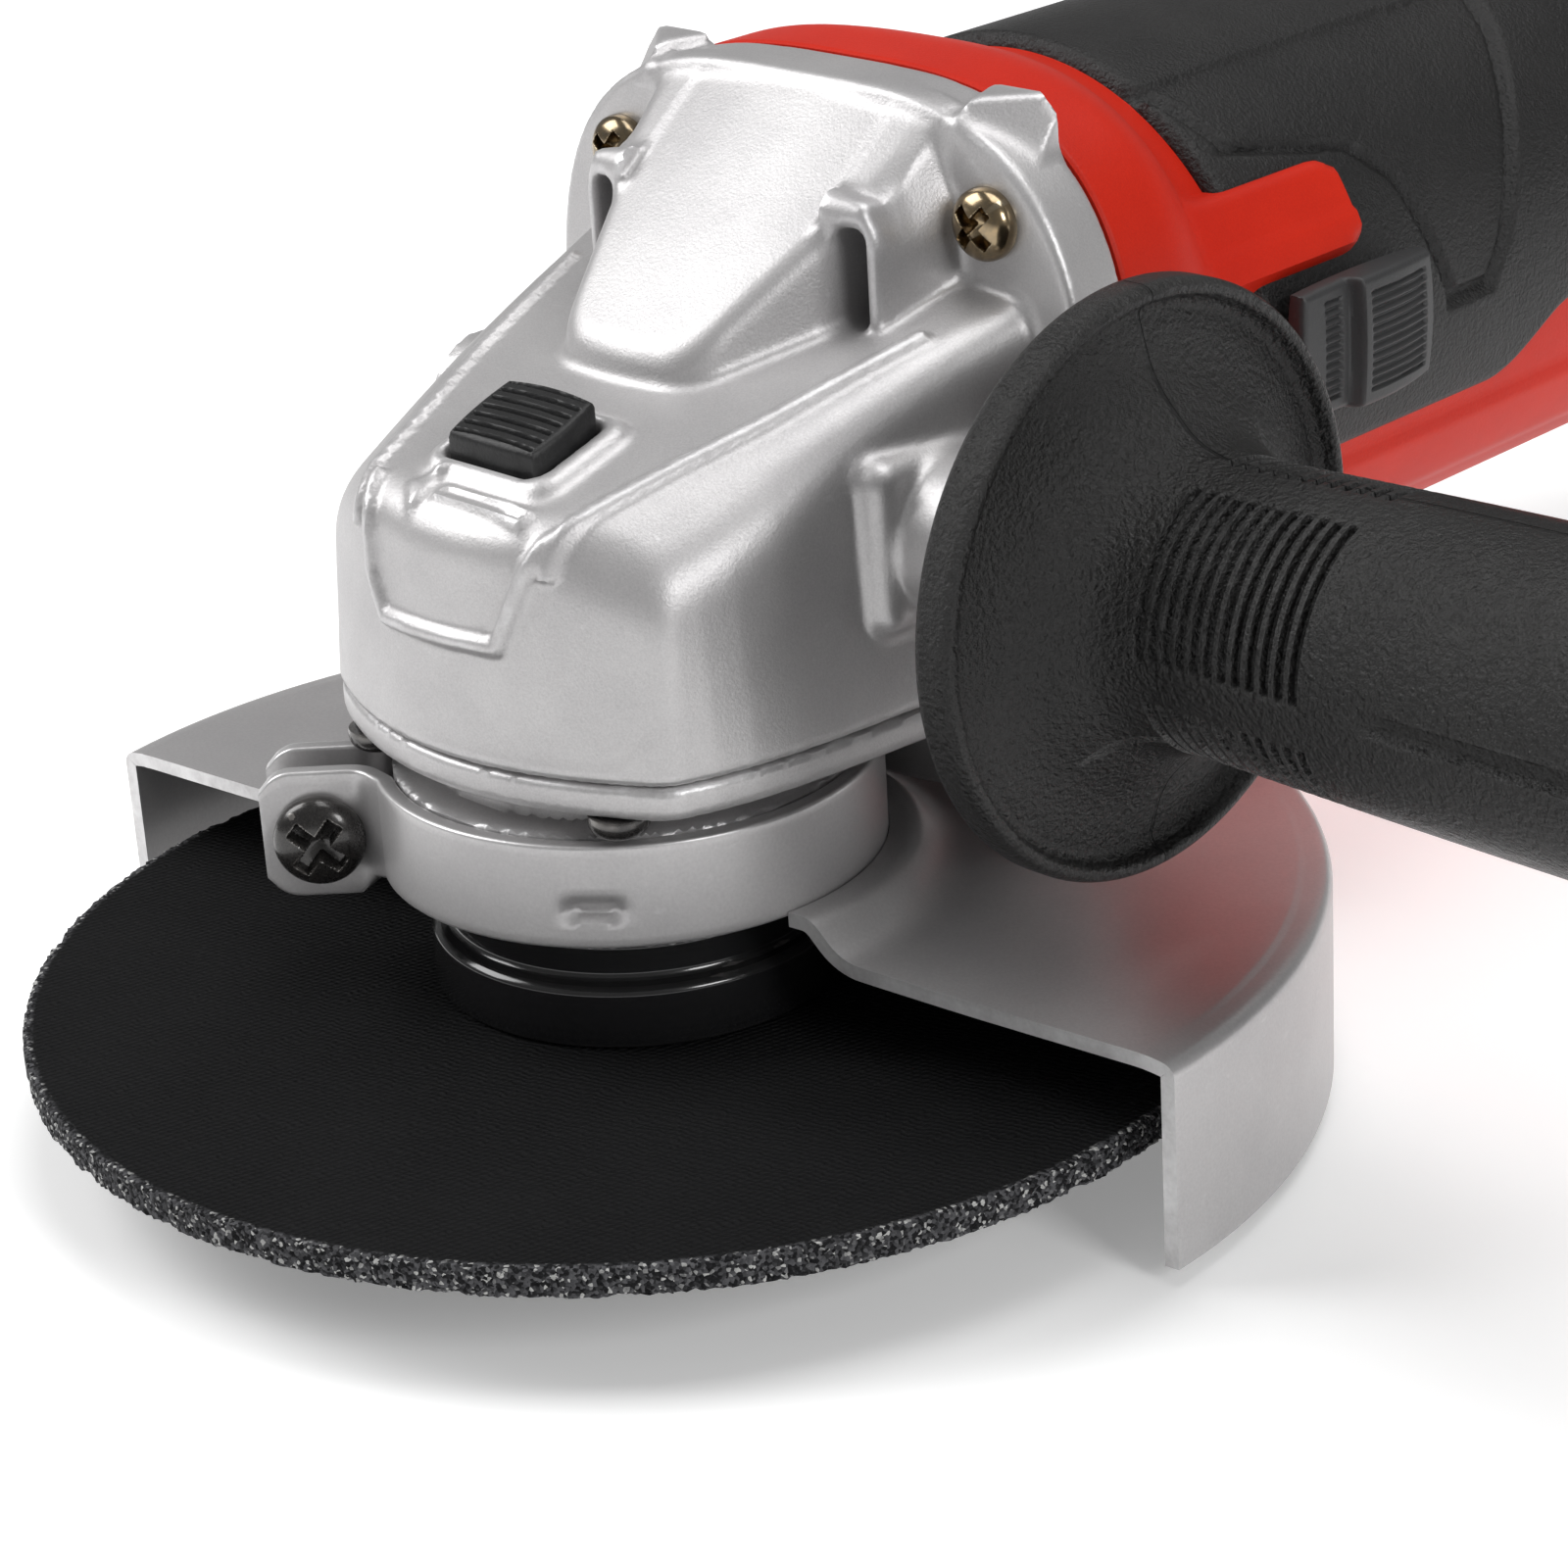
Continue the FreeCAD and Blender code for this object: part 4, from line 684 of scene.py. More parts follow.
@dataclass(frozen=True)
class Finish:
    """One finish. Grain sizes and depths are in millimetres; colours are linear RGB."""

    name: str
    colour: Colour
    shade: Colour
    roughness: float
    spread: float = 0.08
    metallic: float = 0.0
    grain: float = 0.4
    depth: float = 0.02
    wear: float = 0.0
    worn: Colour = (0.6, 0.6, 0.6)
    dust: float = 0.0
    scratches: float = 0.0
    coat: float = 0.0
    specular: float = 0.5
    pattern: Pattern = Pattern.PLAIN

    def material(self) -> bpy.types.Material:
        """The Blender material of this finish, made the first time that it is asked for."""
        if self.name in bpy.data.materials:
            return bpy.data.materials[self.name]
        made = bpy.data.materials.new(self.name)
        made.use_nodes = True
        made.node_tree.nodes.clear()
        w = Wiring(made.node_tree)
        place = w.node("TexCoord").outputs["Object"]
        grain = self._group(w, pebble_grain(), place, 1.0 / (self.grain * MM))
        fine, height = grain.outputs["Fine"], grain.outputs["Height"]
        cloud = w.noise(place, 45.0, 5.0, 0.6)
        blend = w.math("ADD", w.math("MULTIPLY", cloud, 0.55), w.math("MULTIPLY", fine, 0.45))
        colour = w.tint(w.ramp(blend, 0.38, 0.64), self.colour, self.shade)
        rough = w.math("ADD", self.roughness - self.spread, w.math("MULTIPLY", blend, 2 * self.spread))
        colour, rough, height = self._patterned(w, place, colour, rough, height)
        metal = None
        if self.scratches:
            marks = self._group(w, fine_scratches(), place, 90.0, self.scratches).outputs[0]
            colour = w.tint(marks, colour, self.worn)
            height = w.math("SUBTRACT", height, w.math("MULTIPLY", marks, 0.8))
        if self.wear:
            rubbed = self._group(w, edge_wear(), place, 220.0, self.wear).outputs[0]
            colour = w.tint(rubbed, colour, self.worn)
            rough = w.math("SUBTRACT", rough, w.math("MULTIPLY", rubbed, 0.12))
        if self.dust:
            lying = self._group(w, settled_dust(), place, 60.0, self.dust).outputs[0]
            colour = w.tint(lying, colour, DUST_COLOUR)
            rough = w.math("ADD", rough, w.math("MULTIPLY", lying, 0.3))
            if self.metallic:
                metal = w.math("SUBTRACT", self.metallic, w.math("MULTIPLY", lying, self.metallic))
        bump = w.node("Bump", {"Height": height, "Distance": self.depth * MM, "Strength": 1.0})
        sockets = {
            "Base Color": colour,
            "Roughness": rough,
            "Metallic": self.metallic if metal is None else metal,
            "Normal": bump.outputs[0],
            "Coat Weight": self.coat,
            "Coat Roughness": 0.12,
            "Specular IOR Level": self.specular,
        }
        shader = w.node("BsdfPrincipled", sockets)
        w.node("OutputMaterial", {"Surface": shader.outputs[0]})
        return made

    @staticmethod
    def _group(
        w: Wiring,
        tree: bpy.types.NodeTree,
        place: bpy.types.NodeSocket,
        scale: float,
        amount: float | None = None,
    ) -> bpy.types.Node:
        """Places a shared effect in this material with the finish's own values.

        Args:
            w: the material's helper.
            tree: the effect.
            place: object coordinates, in metres.
            scale: the effect's scale.
            amount: its strength, where it has one.

        Returns:
            The group node.
        """
        values = {"Place": place, "Scale": scale}
        if amount is not None:
            values["Amount"] = amount
        made = w.tree.nodes.new("ShaderNodeGroup")
        made.node_tree = tree
        for key, value in values.items():
            if isinstance(value, bpy.types.NodeSocket):
                w.tree.links.new(value, made.inputs[key])
            else:
                made.inputs[key].default_value = value
        return made

    def _patterned(
        self,
        w: Wiring,
        place: bpy.types.NodeSocket,
        colour: bpy.types.NodeSocket,
        rough: bpy.types.NodeSocket,
        height: bpy.types.NodeSocket,
    ) -> tuple[bpy.types.NodeSocket, bpy.types.NodeSocket, bpy.types.NodeSocket]:
        """Adds what the pattern shows to colour, roughness and height.

        Args:
            w: the material's helper.
            place: object coordinates, in metres.
            colour: the colour so far.
            rough: the roughness so far.
            height: the relief so far.

        Returns:
            Colour, roughness and height with the pattern in them.
        """
        axes = w.node("SeparateXYZ", {0: place})
        x, y, z = (axes.outputs[k] for k in "XYZ")
        if self.pattern in (Pattern.TURNED_Z, Pattern.TURNED_Y):
            across, along = (y, z) if self.pattern is Pattern.TURNED_Z else (z, y)
            if self.pattern is Pattern.TURNED_Y:
                across = w.math("SUBTRACT", across, MOTOR_AXIS * MM)
            radius = w.math("SQRT", w.math("ADD", w.math("POWER", x, 2.0), w.math("POWER", across, 2.0)))
            rings = w.noise(w.node("CombineXYZ", {0: radius, 1: along}).outputs[0], 2600.0, 2.0)
            height = w.math("ADD", w.math("MULTIPLY", height, 0.3), rings)
            colour = w.tint(w.ramp(rings, 0.35, 0.7), colour, self.shade)
        if self.pattern is Pattern.LAMINATED:
            sheet = w.math("PINGPONG", w.math("MULTIPLY", y, 1 / (0.5 * MM)), 0.5)
            edge = w.ramp(sheet, 0.0, 0.12)
            height = w.math("ADD", height, w.math("MULTIPLY", edge, 2.0))
            colour = w.tint(edge, (0.02, 0.018, 0.016), colour)
        if self.pattern is Pattern.WOUND:
            bent = w.math("ADD", w.math("ADD", x, z), w.math("MULTIPLY", y, 0.25))
            wire = w.math("PINGPONG", w.math("MULTIPLY", bent, 1 / (0.35 * MM)), 0.5)
            crown = w.math("SQRT", w.math("MULTIPLY", wire, 2.0))
            height = w.math("ADD", w.math("MULTIPLY", height, 0.2), w.math("MULTIPLY", crown, 3.0))
            # Painted shade: the valleys between the wires are coloured darker and the crests lighter, as
            # light and shade fall on round wires.
            colour = w.tint(w.ramp(crown, 0.1, 0.6), self.shade, colour)
        if self.pattern is Pattern.FIBRES:
            stretched = w.node("Mapping", {"Vector": place, "Scale": (1.0, 6.0, 1.0)}).outputs[0]
            hair = w.noise(stretched, 1500.0, 4.0, 0.8)
            height = w.math("ADD", height, w.math("MULTIPLY", hair, 2.0))
            colour = w.tint(hair, self.shade, colour)
        if self.pattern is Pattern.SEAMED:
            off = w.math("ABSOLUTE", w.math("SUBTRACT", y, HANDLE_Y * MM))
            seam = w.ramp(off, 0.00010, 0.00024)
            height = w.math("ADD", height, w.math("MULTIPLY", seam, 3.0))
            colour = w.tint(seam, (0.004, 0.004, 0.004), colour)
        if self.pattern is Pattern.DISC:
            return self._disc(w, place, (x, y, z), colour, rough, height)
        return colour, rough, height

    def _disc(
        self,
        w: Wiring,
        place: bpy.types.NodeSocket,
        axes: tuple[bpy.types.NodeSocket, bpy.types.NodeSocket, bpy.types.NodeSocket],
        colour: bpy.types.NodeSocket,
        rough: bpy.types.NodeSocket,
        height: bpy.types.NodeSocket,
    ) -> tuple[bpy.types.NodeSocket, bpy.types.NodeSocket, bpy.types.NodeSocket]:
        """A pressed weave on the faces, and bare grit of mixed greys round the rim.

        Args:
            w: the material's helper.
            place: object coordinates, in metres.
            axes: the three coordinates on their own.
            colour: the colour so far.
            rough: the roughness so far.
            height: the relief so far.

        Returns:
            Colour, roughness and height of the disc.
        """
        x, y, _ = axes
        swirl = w.node("Mapping", {"Vector": place, "Scale": (1.0, 1.0, 0.0)}).outputs[0]
        drift = w.math("MULTIPLY", w.noise(swirl, 420.0, 2.0), 0.0016)
        warp = w.math("SINE", w.math("MULTIPLY", w.math("ADD", w.math("ADD", x, y), drift), 3000.0))
        slanted = w.math("SUBTRACT", w.math("SUBTRACT", x, y), drift)
        weft = w.math("SINE", w.math("MULTIPLY", slanted, 5200.0))
        weave = w.math("MULTIPLY", warp, weft)
        radius = w.math("SQRT", w.math("ADD", w.math("POWER", x, 2.0), w.math("POWER", y, 2.0)))
        face = w.node("SeparateXYZ", {0: w.node("NewGeometry").outputs["True Normal"]}).outputs["Z"]
        inner = w.ramp(radius, DISC_RADIUS * MM - 0.0006, DISC_RADIUS * MM - 0.0012)
        flat = w.math("MULTIPLY", w.ramp(w.math("ABSOLUTE", face), 0.6, 0.9), inner)
        grit = w.node("TexVoronoi", {"Vector": place, "Scale": 2900.0}, feature="F1")
        value = w.node("SeparateColor", {0: grit.outputs["Color"]}).outputs[0]
        dark = w.tint(w.ramp(value, 0.25, 0.8), (0.008, 0.008, 0.009), (0.085, 0.085, 0.09))
        grains = w.tint(w.ramp(value, 0.88, 0.95), dark, (0.42, 0.42, 0.41))
        rim = w.math("SUBTRACT", 1.0, grit.outputs["Distance"])
        relief = w.tint(flat, w.node("CombineXYZ", {0: rim}).outputs[0],
                        w.node("CombineXYZ", {0: w.math("MULTIPLY", weave, 0.75)}).outputs[0])
        raised = w.node("SeparateXYZ", {0: relief}).outputs[0]
        height = w.math("ADD", raised, w.math("MULTIPLY", height, 0.35))
        faces = w.tint(w.ramp(weave, -0.2, 0.9), colour, self.shade)
        rough = w.math("ADD", rough, w.math("MULTIPLY", w.math("SUBTRACT", 1.0, flat), -0.1))
        return w.tint(flat, grains, faces), rough, height


DUST_COLOUR: Colour = (0.34, 0.33, 0.31)

CAST = Finish("cast_aluminium_blasted", (0.54, 0.53, 0.53), (0.42, 0.41, 0.415), 0.42, 0.06, 0.60,
              grain=0.36, depth=0.022, wear=0.35, worn=(0.86, 0.86, 0.87), scratches=0.10)
GUARD_STEEL = Finish("guard_steel_silver_coat", (0.54, 0.53, 0.53), (0.46, 0.45, 0.455), 0.38, 0.05, 0.62,
                     grain=0.55, depth=0.010, wear=0.5, worn=(0.88, 0.88, 0.88), scratches=0.10)
BLACK_SCREW = Finish("black_screw_oxide", (0.018, 0.017, 0.017), (0.045, 0.042, 0.04), 0.27, 0.08, 0.55,
                     grain=0.5, depth=0.010, wear=0.7, worn=(0.35, 0.33, 0.31), coat=0.5)
BRONZE_SCREW = Finish("bronze_screw_passivated", (0.36, 0.27, 0.16), (0.20, 0.17, 0.125), 0.20, 0.05, 1.0,
                      grain=0.9, depth=0.001, wear=0.5, worn=(0.75, 0.66, 0.5))
BRIGHT_STEEL = Finish("bright_steel_ground", (0.62, 0.62, 0.63), (0.5, 0.5, 0.52), 0.24, 0.06, 1.0,
                      grain=0.3, depth=0.004, scratches=0.15, pattern=Pattern.TURNED_Y)
SPINDLE_STEEL = Finish("spindle_steel_turned", (0.56, 0.56, 0.57), (0.4, 0.4, 0.42), 0.26, 0.06, 1.0,
                       grain=0.3, depth=0.005, scratches=0.15, pattern=Pattern.TURNED_Z)
GEAR_STEEL = Finish("gear_steel_hardened", (0.34, 0.33, 0.33), (0.22, 0.21, 0.22), 0.3, 0.08, 1.0,
                    grain=0.35, depth=0.01, wear=0.6, worn=(0.7, 0.7, 0.7), dust=0.1)
CORE_STEEL = Finish("core_steel_sheets", (0.30, 0.30, 0.31), (0.2, 0.2, 0.21), 0.42, 0.08, 0.9,
                    grain=0.5, depth=0.02, pattern=Pattern.LAMINATED)
BLACK_OXIDE = Finish("flange_black_gloss", (0.010, 0.010, 0.011), (0.02, 0.02, 0.021), 0.17, 0.05, 0.35,
                     grain=0.8, depth=0.004, wear=0.6, worn=(0.16, 0.15, 0.15), coat=0.6,
                     dust=0.05, pattern=Pattern.TURNED_Z)
ABRASIVE = Finish("abrasive_disc", (0.0042, 0.0042, 0.0046), (0.009, 0.009, 0.0095), 0.72, 0.08,
                  grain=0.35, depth=0.20, specular=0.10, pattern=Pattern.DISC)
RED = Finish("housing_red_nylon", (0.56, 0.020, 0.006), (0.46, 0.014, 0.005), 0.42, 0.06,
             grain=0.30, depth=0.03, specular=0.16)
BLACK_PLASTIC = Finish("black_moulded_plastic", (0.0075, 0.0075, 0.008), (0.013, 0.013, 0.0135), 0.42, 0.07,
                       grain=0.45, depth=0.035, specular=0.3, wear=0.25, worn=(0.07, 0.07, 0.07), dust=0.02)
HANDLE_PLASTIC = Finish("side_handle_plastic", (0.0045, 0.0042, 0.0042), (0.011, 0.0105, 0.0102), 0.31, 0.10,
                        grain=0.62, depth=0.30, specular=0.34, wear=0.35, worn=(0.085, 0.085, 0.085),
                        dust=0.03, pattern=Pattern.SEAMED)
GRIP = Finish("soft_grip_overlay", (0.0050, 0.0048, 0.0048), (0.010, 0.0095, 0.0095), 0.36, 0.07,
              grain=0.50, depth=0.18, specular=0.34, dust=0.02)
SWITCH_PLASTIC = Finish("switch_slider_grey", (0.022, 0.022, 0.023), (0.032, 0.032, 0.033), 0.5, 0.06,
                        grain=0.4, depth=0.03)
RUBBER = Finish("cable_rubber", (0.012, 0.012, 0.012), (0.022, 0.022, 0.022), 0.6, 0.08,
                grain=0.6, depth=0.03, dust=0.06)
BRONZE = Finish("sintered_bronze", (0.42, 0.25, 0.11), (0.3, 0.18, 0.08), 0.38, 0.08, 1.0,
                grain=0.3, depth=0.02)
FELT = Finish("grey_felt", (0.22, 0.21, 0.20), (0.12, 0.115, 0.11), 0.95, 0.03,
              grain=0.3, depth=0.12, pattern=Pattern.FIBRES)
# COPPER's shade colour is its random second tone, and also the painted shade in the valleys of the winding.
COPPER = Finish("enamelled_copper", (0.50, 0.17, 0.06), (0.16, 0.045, 0.015), 0.28, 0.06, 0.9,
                grain=0.5, depth=0.05, coat=0.5, pattern=Pattern.WOUND)
CARBON = Finish("brush_carbon", (0.03, 0.03, 0.032), (0.055, 0.055, 0.058), 0.45, 0.1, 0.3,
                grain=0.25, depth=0.02)
FILM = Finish("capacitor_case_yellow", (0.55, 0.36, 0.05), (0.48, 0.30, 0.04), 0.35, 0.05,
              grain=0.8, depth=0.01)


# ------------------------------------------------------------------ the cast gear head

def soft_max(a: Array, b: Array, blend: float) -> Array:
    """The larger of two fields with the corner between them rounded over blend millimetres."""
    h = np.clip(blend - np.abs(a - b), 0, None) / blend
    return np.maximum(a, b) + h * h * blend * 0.25


def soft_min(a: Array, b: Array, blend: float) -> Array:
    """The smaller of two fields, filleted over blend millimetres."""
    return -soft_max(-a, -b, blend)


def ramp_between(value: Array, low: float, high: float) -> Array:
    """0 below low, 1 above high and smooth between them."""
    s = np.clip((value - low) / (high - low), 0, 1)
    return s * s * (3 - 2 * s)


def rod(across: Array, along: Array, radius: float, low: float, high: float) -> Array:
    """Field of a round bar: distance across its axis, and its two ends."""
    return np.maximum(across - radius, np.maximum(low - along, along - high))


def block(offsets: Sequence[Array], halves: Sequence[float], radius: float) -> Array:
    """Field of a box with rounded edges, from the offsets to its centre.

    Args:
        offsets: distances from the centre along each axis.
        halves: half sizes.
        radius: radius of the edges.

    Returns:
        The field, negative inside.
    """
    q = [np.abs(o) - h + radius for o, h in zip(offsets, halves)]
    outside = np.sqrt(sum(np.maximum(v, 0) ** 2 for v in q))
    inside = np.minimum(np.maximum.reduce(np.broadcast_arrays(*q)), 0)
    return outside + inside - radius


def near_line(x: Array, y: Array, z: Array, line: Sequence[Sequence[float]]) -> Array:
    """Distance to a line of straight runs through points in space.

    Args:
        x: places across the grinder.
        y: places along it.
        z: heights.
        line: the points that the straight runs join.

    Returns:
        The distance, in millimetres.
    """
    best = None
    for a, b in zip(line[:-1], line[1:]):
        a, b = np.array(a, float), np.array(b, float)
        d = b - a
        t = np.clip(((x - a[0]) * d[0] + (y - a[1]) * d[1] + (z - a[2]) * d[2]) / (d @ d), 0, 1)
        gap = (x - a[0] - t * d[0]) ** 2 + (y - a[1] - t * d[1]) ** 2 + (z - a[2] - t * d[2]) ** 2
        best = gap if best is None else np.minimum(best, gap)
    return np.sqrt(best)


def cast_skin(
    field: Callable[[Array, Array, Array], Array],
    low: Sequence[float],
    high: Sequence[float],
    cell: float,
) -> Skin:
    """The skin of a solid given as a field that is negative inside it.

    The field is read at the corners of a cubic lattice. A cell that the surface crosses gets one
    point, the mean of the places where its edges cross zero, v0 / (v0 - v1) along each edge. A
    lattice edge that crosses gives a quad between the four cells round it. The points then slide
    along the field's slope, p - f n / |n|, until they lie on the surface.

    Args:
        field: the solid, as a function of x, y and z.
        low: lowest corner of the lattice.
        high: highest corner.
        cell: size of a cell.

    Returns:
        The closed skin.
    """
    axes = [np.arange(a, b + cell, cell) for a, b in zip(low, high)]
    x, y, z = np.meshgrid(*axes, indexing="ij", sparse=True)
    value = np.ascontiguousarray(np.broadcast_to(field(x, y, z), [len(a) for a in axes])).astype(np.float32)
    for k in range(3):
        edge = np.moveaxis(value, k, 0)
        edge[[0, -1]] = cell
    inside = value < 0
    corners = [(i, j, k) for i in (0, 1) for j in (0, 1) for k in (0, 1)]

    def shifted(a: Array, c: tuple[int, int, int]) -> Array:
        """The lattice seen from one corner of every cell."""
        return a[tuple(slice(o, o + n - 1) for o, n in zip(c, a.shape))]

    count = sum(shifted(inside, c).astype(np.int8) for c in corners)
    active = (count > 0) & (count < 8)
    cells = np.argwhere(active)
    number = np.full(active.shape, -1, np.int64)
    number[active] = np.arange(len(cells))
    at = {c: value[tuple((cells + c).T)] for c in corners}
    total, hits = np.zeros((len(cells), 3)), np.zeros(len(cells))
    for c in corners:
        for k in range(3):
            if c[k]:
                continue
            e = tuple(v + (i == k) for i, v in enumerate(c))
            v0, v1 = at[c], at[e]
            crossed = (v0 < 0) != (v1 < 0)
            t = np.where(crossed, v0 / np.where(crossed, v0 - v1, 1), 0)
            place = np.array(c, float) + t[:, None] * (np.array(e) - np.array(c))
            total += place * crossed[:, None]
            hits += crossed
    points = np.array(low, float) + (cells + total / hits[:, None]) * cell
    faces = []
    for k in range(3):
        ahead = tuple(slice(1, None) if i == k else slice(None) for i in range(3))
        behind = tuple(slice(None, -1) if i == k else slice(None) for i in range(3))
        crossed = inside[behind] != inside[ahead]
        edges = np.argwhere(crossed)
        a, b = [i for i in range(3) if i != k]
        edges = edges[(edges[:, a] > 0) & (edges[:, b] > 0)]
        step_a, step_b = np.eye(3, dtype=int)[a], np.eye(3, dtype=int)[b]
        ring = [edges - step_a - step_b, edges - step_b, edges, edges - step_a]
        quads = np.stack([number[tuple(r.T)] for r in ring], 1)
        outward = inside[tuple(edges.T)] == (k != 1)
        faces.append(np.where(outward[:, None], quads, quads[:, ::-1]))
    h = 0.03
    for _ in range(4):
        px, py, pz = points.T
        f = field(px, py, pz)
        slope = np.stack([
            field(px + h, py, pz) - field(px - h, py, pz),
            field(px, py + h, pz) - field(px, py - h, pz),
            field(px, py, pz + h) - field(px, py, pz - h),
        ], -1) / (2 * h)
        steep = np.maximum((slope**2).sum(-1), 0.05)
        move = -(f / steep)[:, None] * slope
        reach = np.linalg.norm(move, axis=1, keepdims=True)
        points = points + move * np.minimum(1, 0.45 * cell / np.maximum(reach, 1e-9))
    return Skin(points, faces)


@dataclass
class GearHead(Assembly):
    """The cast head: the casing with its embossing, and the cover plate."""

    front: float = HOUSING_FRONT - 1.0
    front_curve: float = 0.0133
    front_draft: float = 0.08
    back_end: float = 31.0
    wall_draft: float = 0.05
    wall_foot: float = 40.0
    shoulder: tuple[float, float, float, float] = (0.55, 0.43, 0.83, 60.4)
    shoulder_length: float = 1.085
    corner_blend: float = 1.1
    edge_blend: float = 3.8
    deck_height: float = DECK_HEIGHT
    deck_slope: float = DECK_SLOPE
    deck_crown: float = 0.0022
    hump_start: float = 2.2
    hump_height: float = 63.4
    hump_slope: float = 0.79
    hump_half: float = 8.4
    hump_spread: float = 0.42
    hump_crown: float = 0.006
    slot_x: float = 16.9
    slot_z: float = 69.2
    slot_half: float = 1.7
    post_y: float = 28.4
    lug_peak: tuple[float, float, float] = (20.8, 32.0, 84.6)
    boss_half: tuple[float, float] = (10.0, 8.7)
    boss_at: float = 27.0
    boss_depth: float = 3.6
    hub_radius: float = 8.0
    hub_span: tuple[float, float] = (20.0, 36.0)
    deck_bead: Outline = (
        (24.2, 19.0), (22.6, 13.0), (19.8, 2.0), (17.0, -6.5), (14.8, -14.0), (13.2, -20.5),
    )
    nose_bead: Outline = (
        (12.6, 53.0), (10.9, 49.5), (8.0, 42.6), (-8.0, 42.2), (-10.4, 46.0), (-11.0, 52.0), (-12.8, 55.5),
    )
    bead_height: float = 0.8
    bead_width: float = 0.85
    button_y: float = -10.2
    button_half: tuple[float, float] = (6.6, 4.6)
    cell: float = 0.62

    def wall(self, y: Array) -> Array:
        """Half-width of the upper casing, along the head."""
        return np.interp(y, (-22, -18.6, -15.5, -12, -8, -3, 3, 12, 20, 30),
                         (20.5, 22.3, 23.7, 24.9, 26.0, 27.0, 27.7, 28.8, 30.0, 32.0))

    def skirt(self, y: Array) -> Array:
        """Half-width of the flared skirt at the joint with the cover, along the head."""
        return np.interp(y, (-22, -18.6, -15.5, -12, -8, -3, 3, 12, 20, 30),
                         (20.3, 22.2, 24.1, 25.6, 26.8, 27.8, 28.6, 29.4, 30.4, 31.6))

    def arc(self, y: Array) -> Array:
        """Height of the arched line along the side where the skirt stands proud of the wall."""
        along = (-19, -17, -14, -10, -3, 3, 11, 30)
        return np.interp(y, along, (32.0, 35.5, 38.3, 41.0, 44.3, 46.0, 46.8, 47.0))

    def deck(self, x: Array, y: Array) -> Array:
        """Height of the sloping deck: rising to the back and slightly crowned across."""
        return self.deck_height + self.deck_slope * y - self.deck_crown * x**2

    def button_deck(self, y: Array) -> Array:
        """Height of the deck in the middle, where the lock button stands."""
        return self.deck_height + self.deck_slope * y

    def casing(self, x: Array, y: Array, z: Array) -> Array:
        """The main body: walls, shoulders, deck, rounded front and the flared skirt.

        Args:
            x: places across the grinder.
            y: places along it.
            z: heights.

        Returns:
            The field, negative inside.
        """
        side = np.abs(x)
        wall = side - self.wall(y) + self.wall_draft * (z - self.wall_foot)
        out, ahead, up, level = self.shoulder
        shoulder = (out * side + up * z - ahead * y - level) / self.shoulder_length
        deck = (z - self.deck(x, y)) / 1.04
        nose = (self.front - y + self.front_curve * x**2 + self.front_draft * (z - COVER_TOP)) * 0.96
        walls = soft_max(wall, nose, self.corner_blend)
        body = soft_max(walls, soft_max(shoulder, deck, 1.6), self.edge_blend)
        skirt = soft_max(side - self.skirt(y) + 0.09 * (z - COVER_TOP), nose, self.corner_blend)
        skirt = soft_max(skirt, (z - self.arc(y)) * 0.8, 0.6)
        return soft_min(body, skirt, 0.4)

    def hump(self, x: Array, y: Array, z: Array) -> Array:
        """The smooth hump over the gears, which widens and rises to the motor.

        Args:
            x: places across the grinder.
            y: places along it.
            z: heights.

        Returns:
            The field, negative inside.
        """
        along = y - self.hump_start
        top = self.hump_height + self.hump_slope * along - self.hump_crown * x**2
        half = self.hump_half + self.hump_spread * along
        sides = (np.abs(x) - half - 0.16 * (top - z)) * 0.9
        nose = (self.hump_start - y + 0.012 * x**2 - 0.12 * (top - z)) * 0.95
        crest = soft_max((z - top) * 0.785, z - FLANGE_TOP + 1.0, 1.0)
        return soft_max(crest, soft_max(sides, nose, 3.0), 1.6)

    def ring(self, x: Array, z: Array, half: float = FLANGE_HALF) -> Array:
        """The squarish ring section, |x|^n + |z|^n = half^n with n = RING_POWER, about the motor axis."""
        a, b = np.abs(x) / half, np.abs(z - MOTOR_AXIS) / half
        return ((a**RING_POWER + b**RING_POWER) ** (1 / RING_POWER) - 1) * half * 0.93

    def lugs(self, x: Array, y: Array, z: Array) -> Array:
        """Three-sided wedges on the ring's upper corners, one each side, each with its peak inboard.

        Args:
            x: places across the grinder.
            y: places along it.
            z: heights.

        Returns:
            The field, negative inside.
        """
        side, back, up = np.abs(x) - self.lug_peak[0], y - self.lug_peak[1], z - self.lug_peak[2]
        inner = -0.80 * side - 0.30 * back + 0.50 * up
        outer = 0.62 * (side - 2.0) - 0.62 * back + 0.48 * up
        wedge = soft_max(np.maximum(inner, outer), np.maximum(up, y - FLANGE_BACK + 0.3), 0.6)
        below = (self.lug_peak[2] - 7.6 - z) * 0.8
        return np.maximum(wedge, np.maximum(below, side - 7.0))

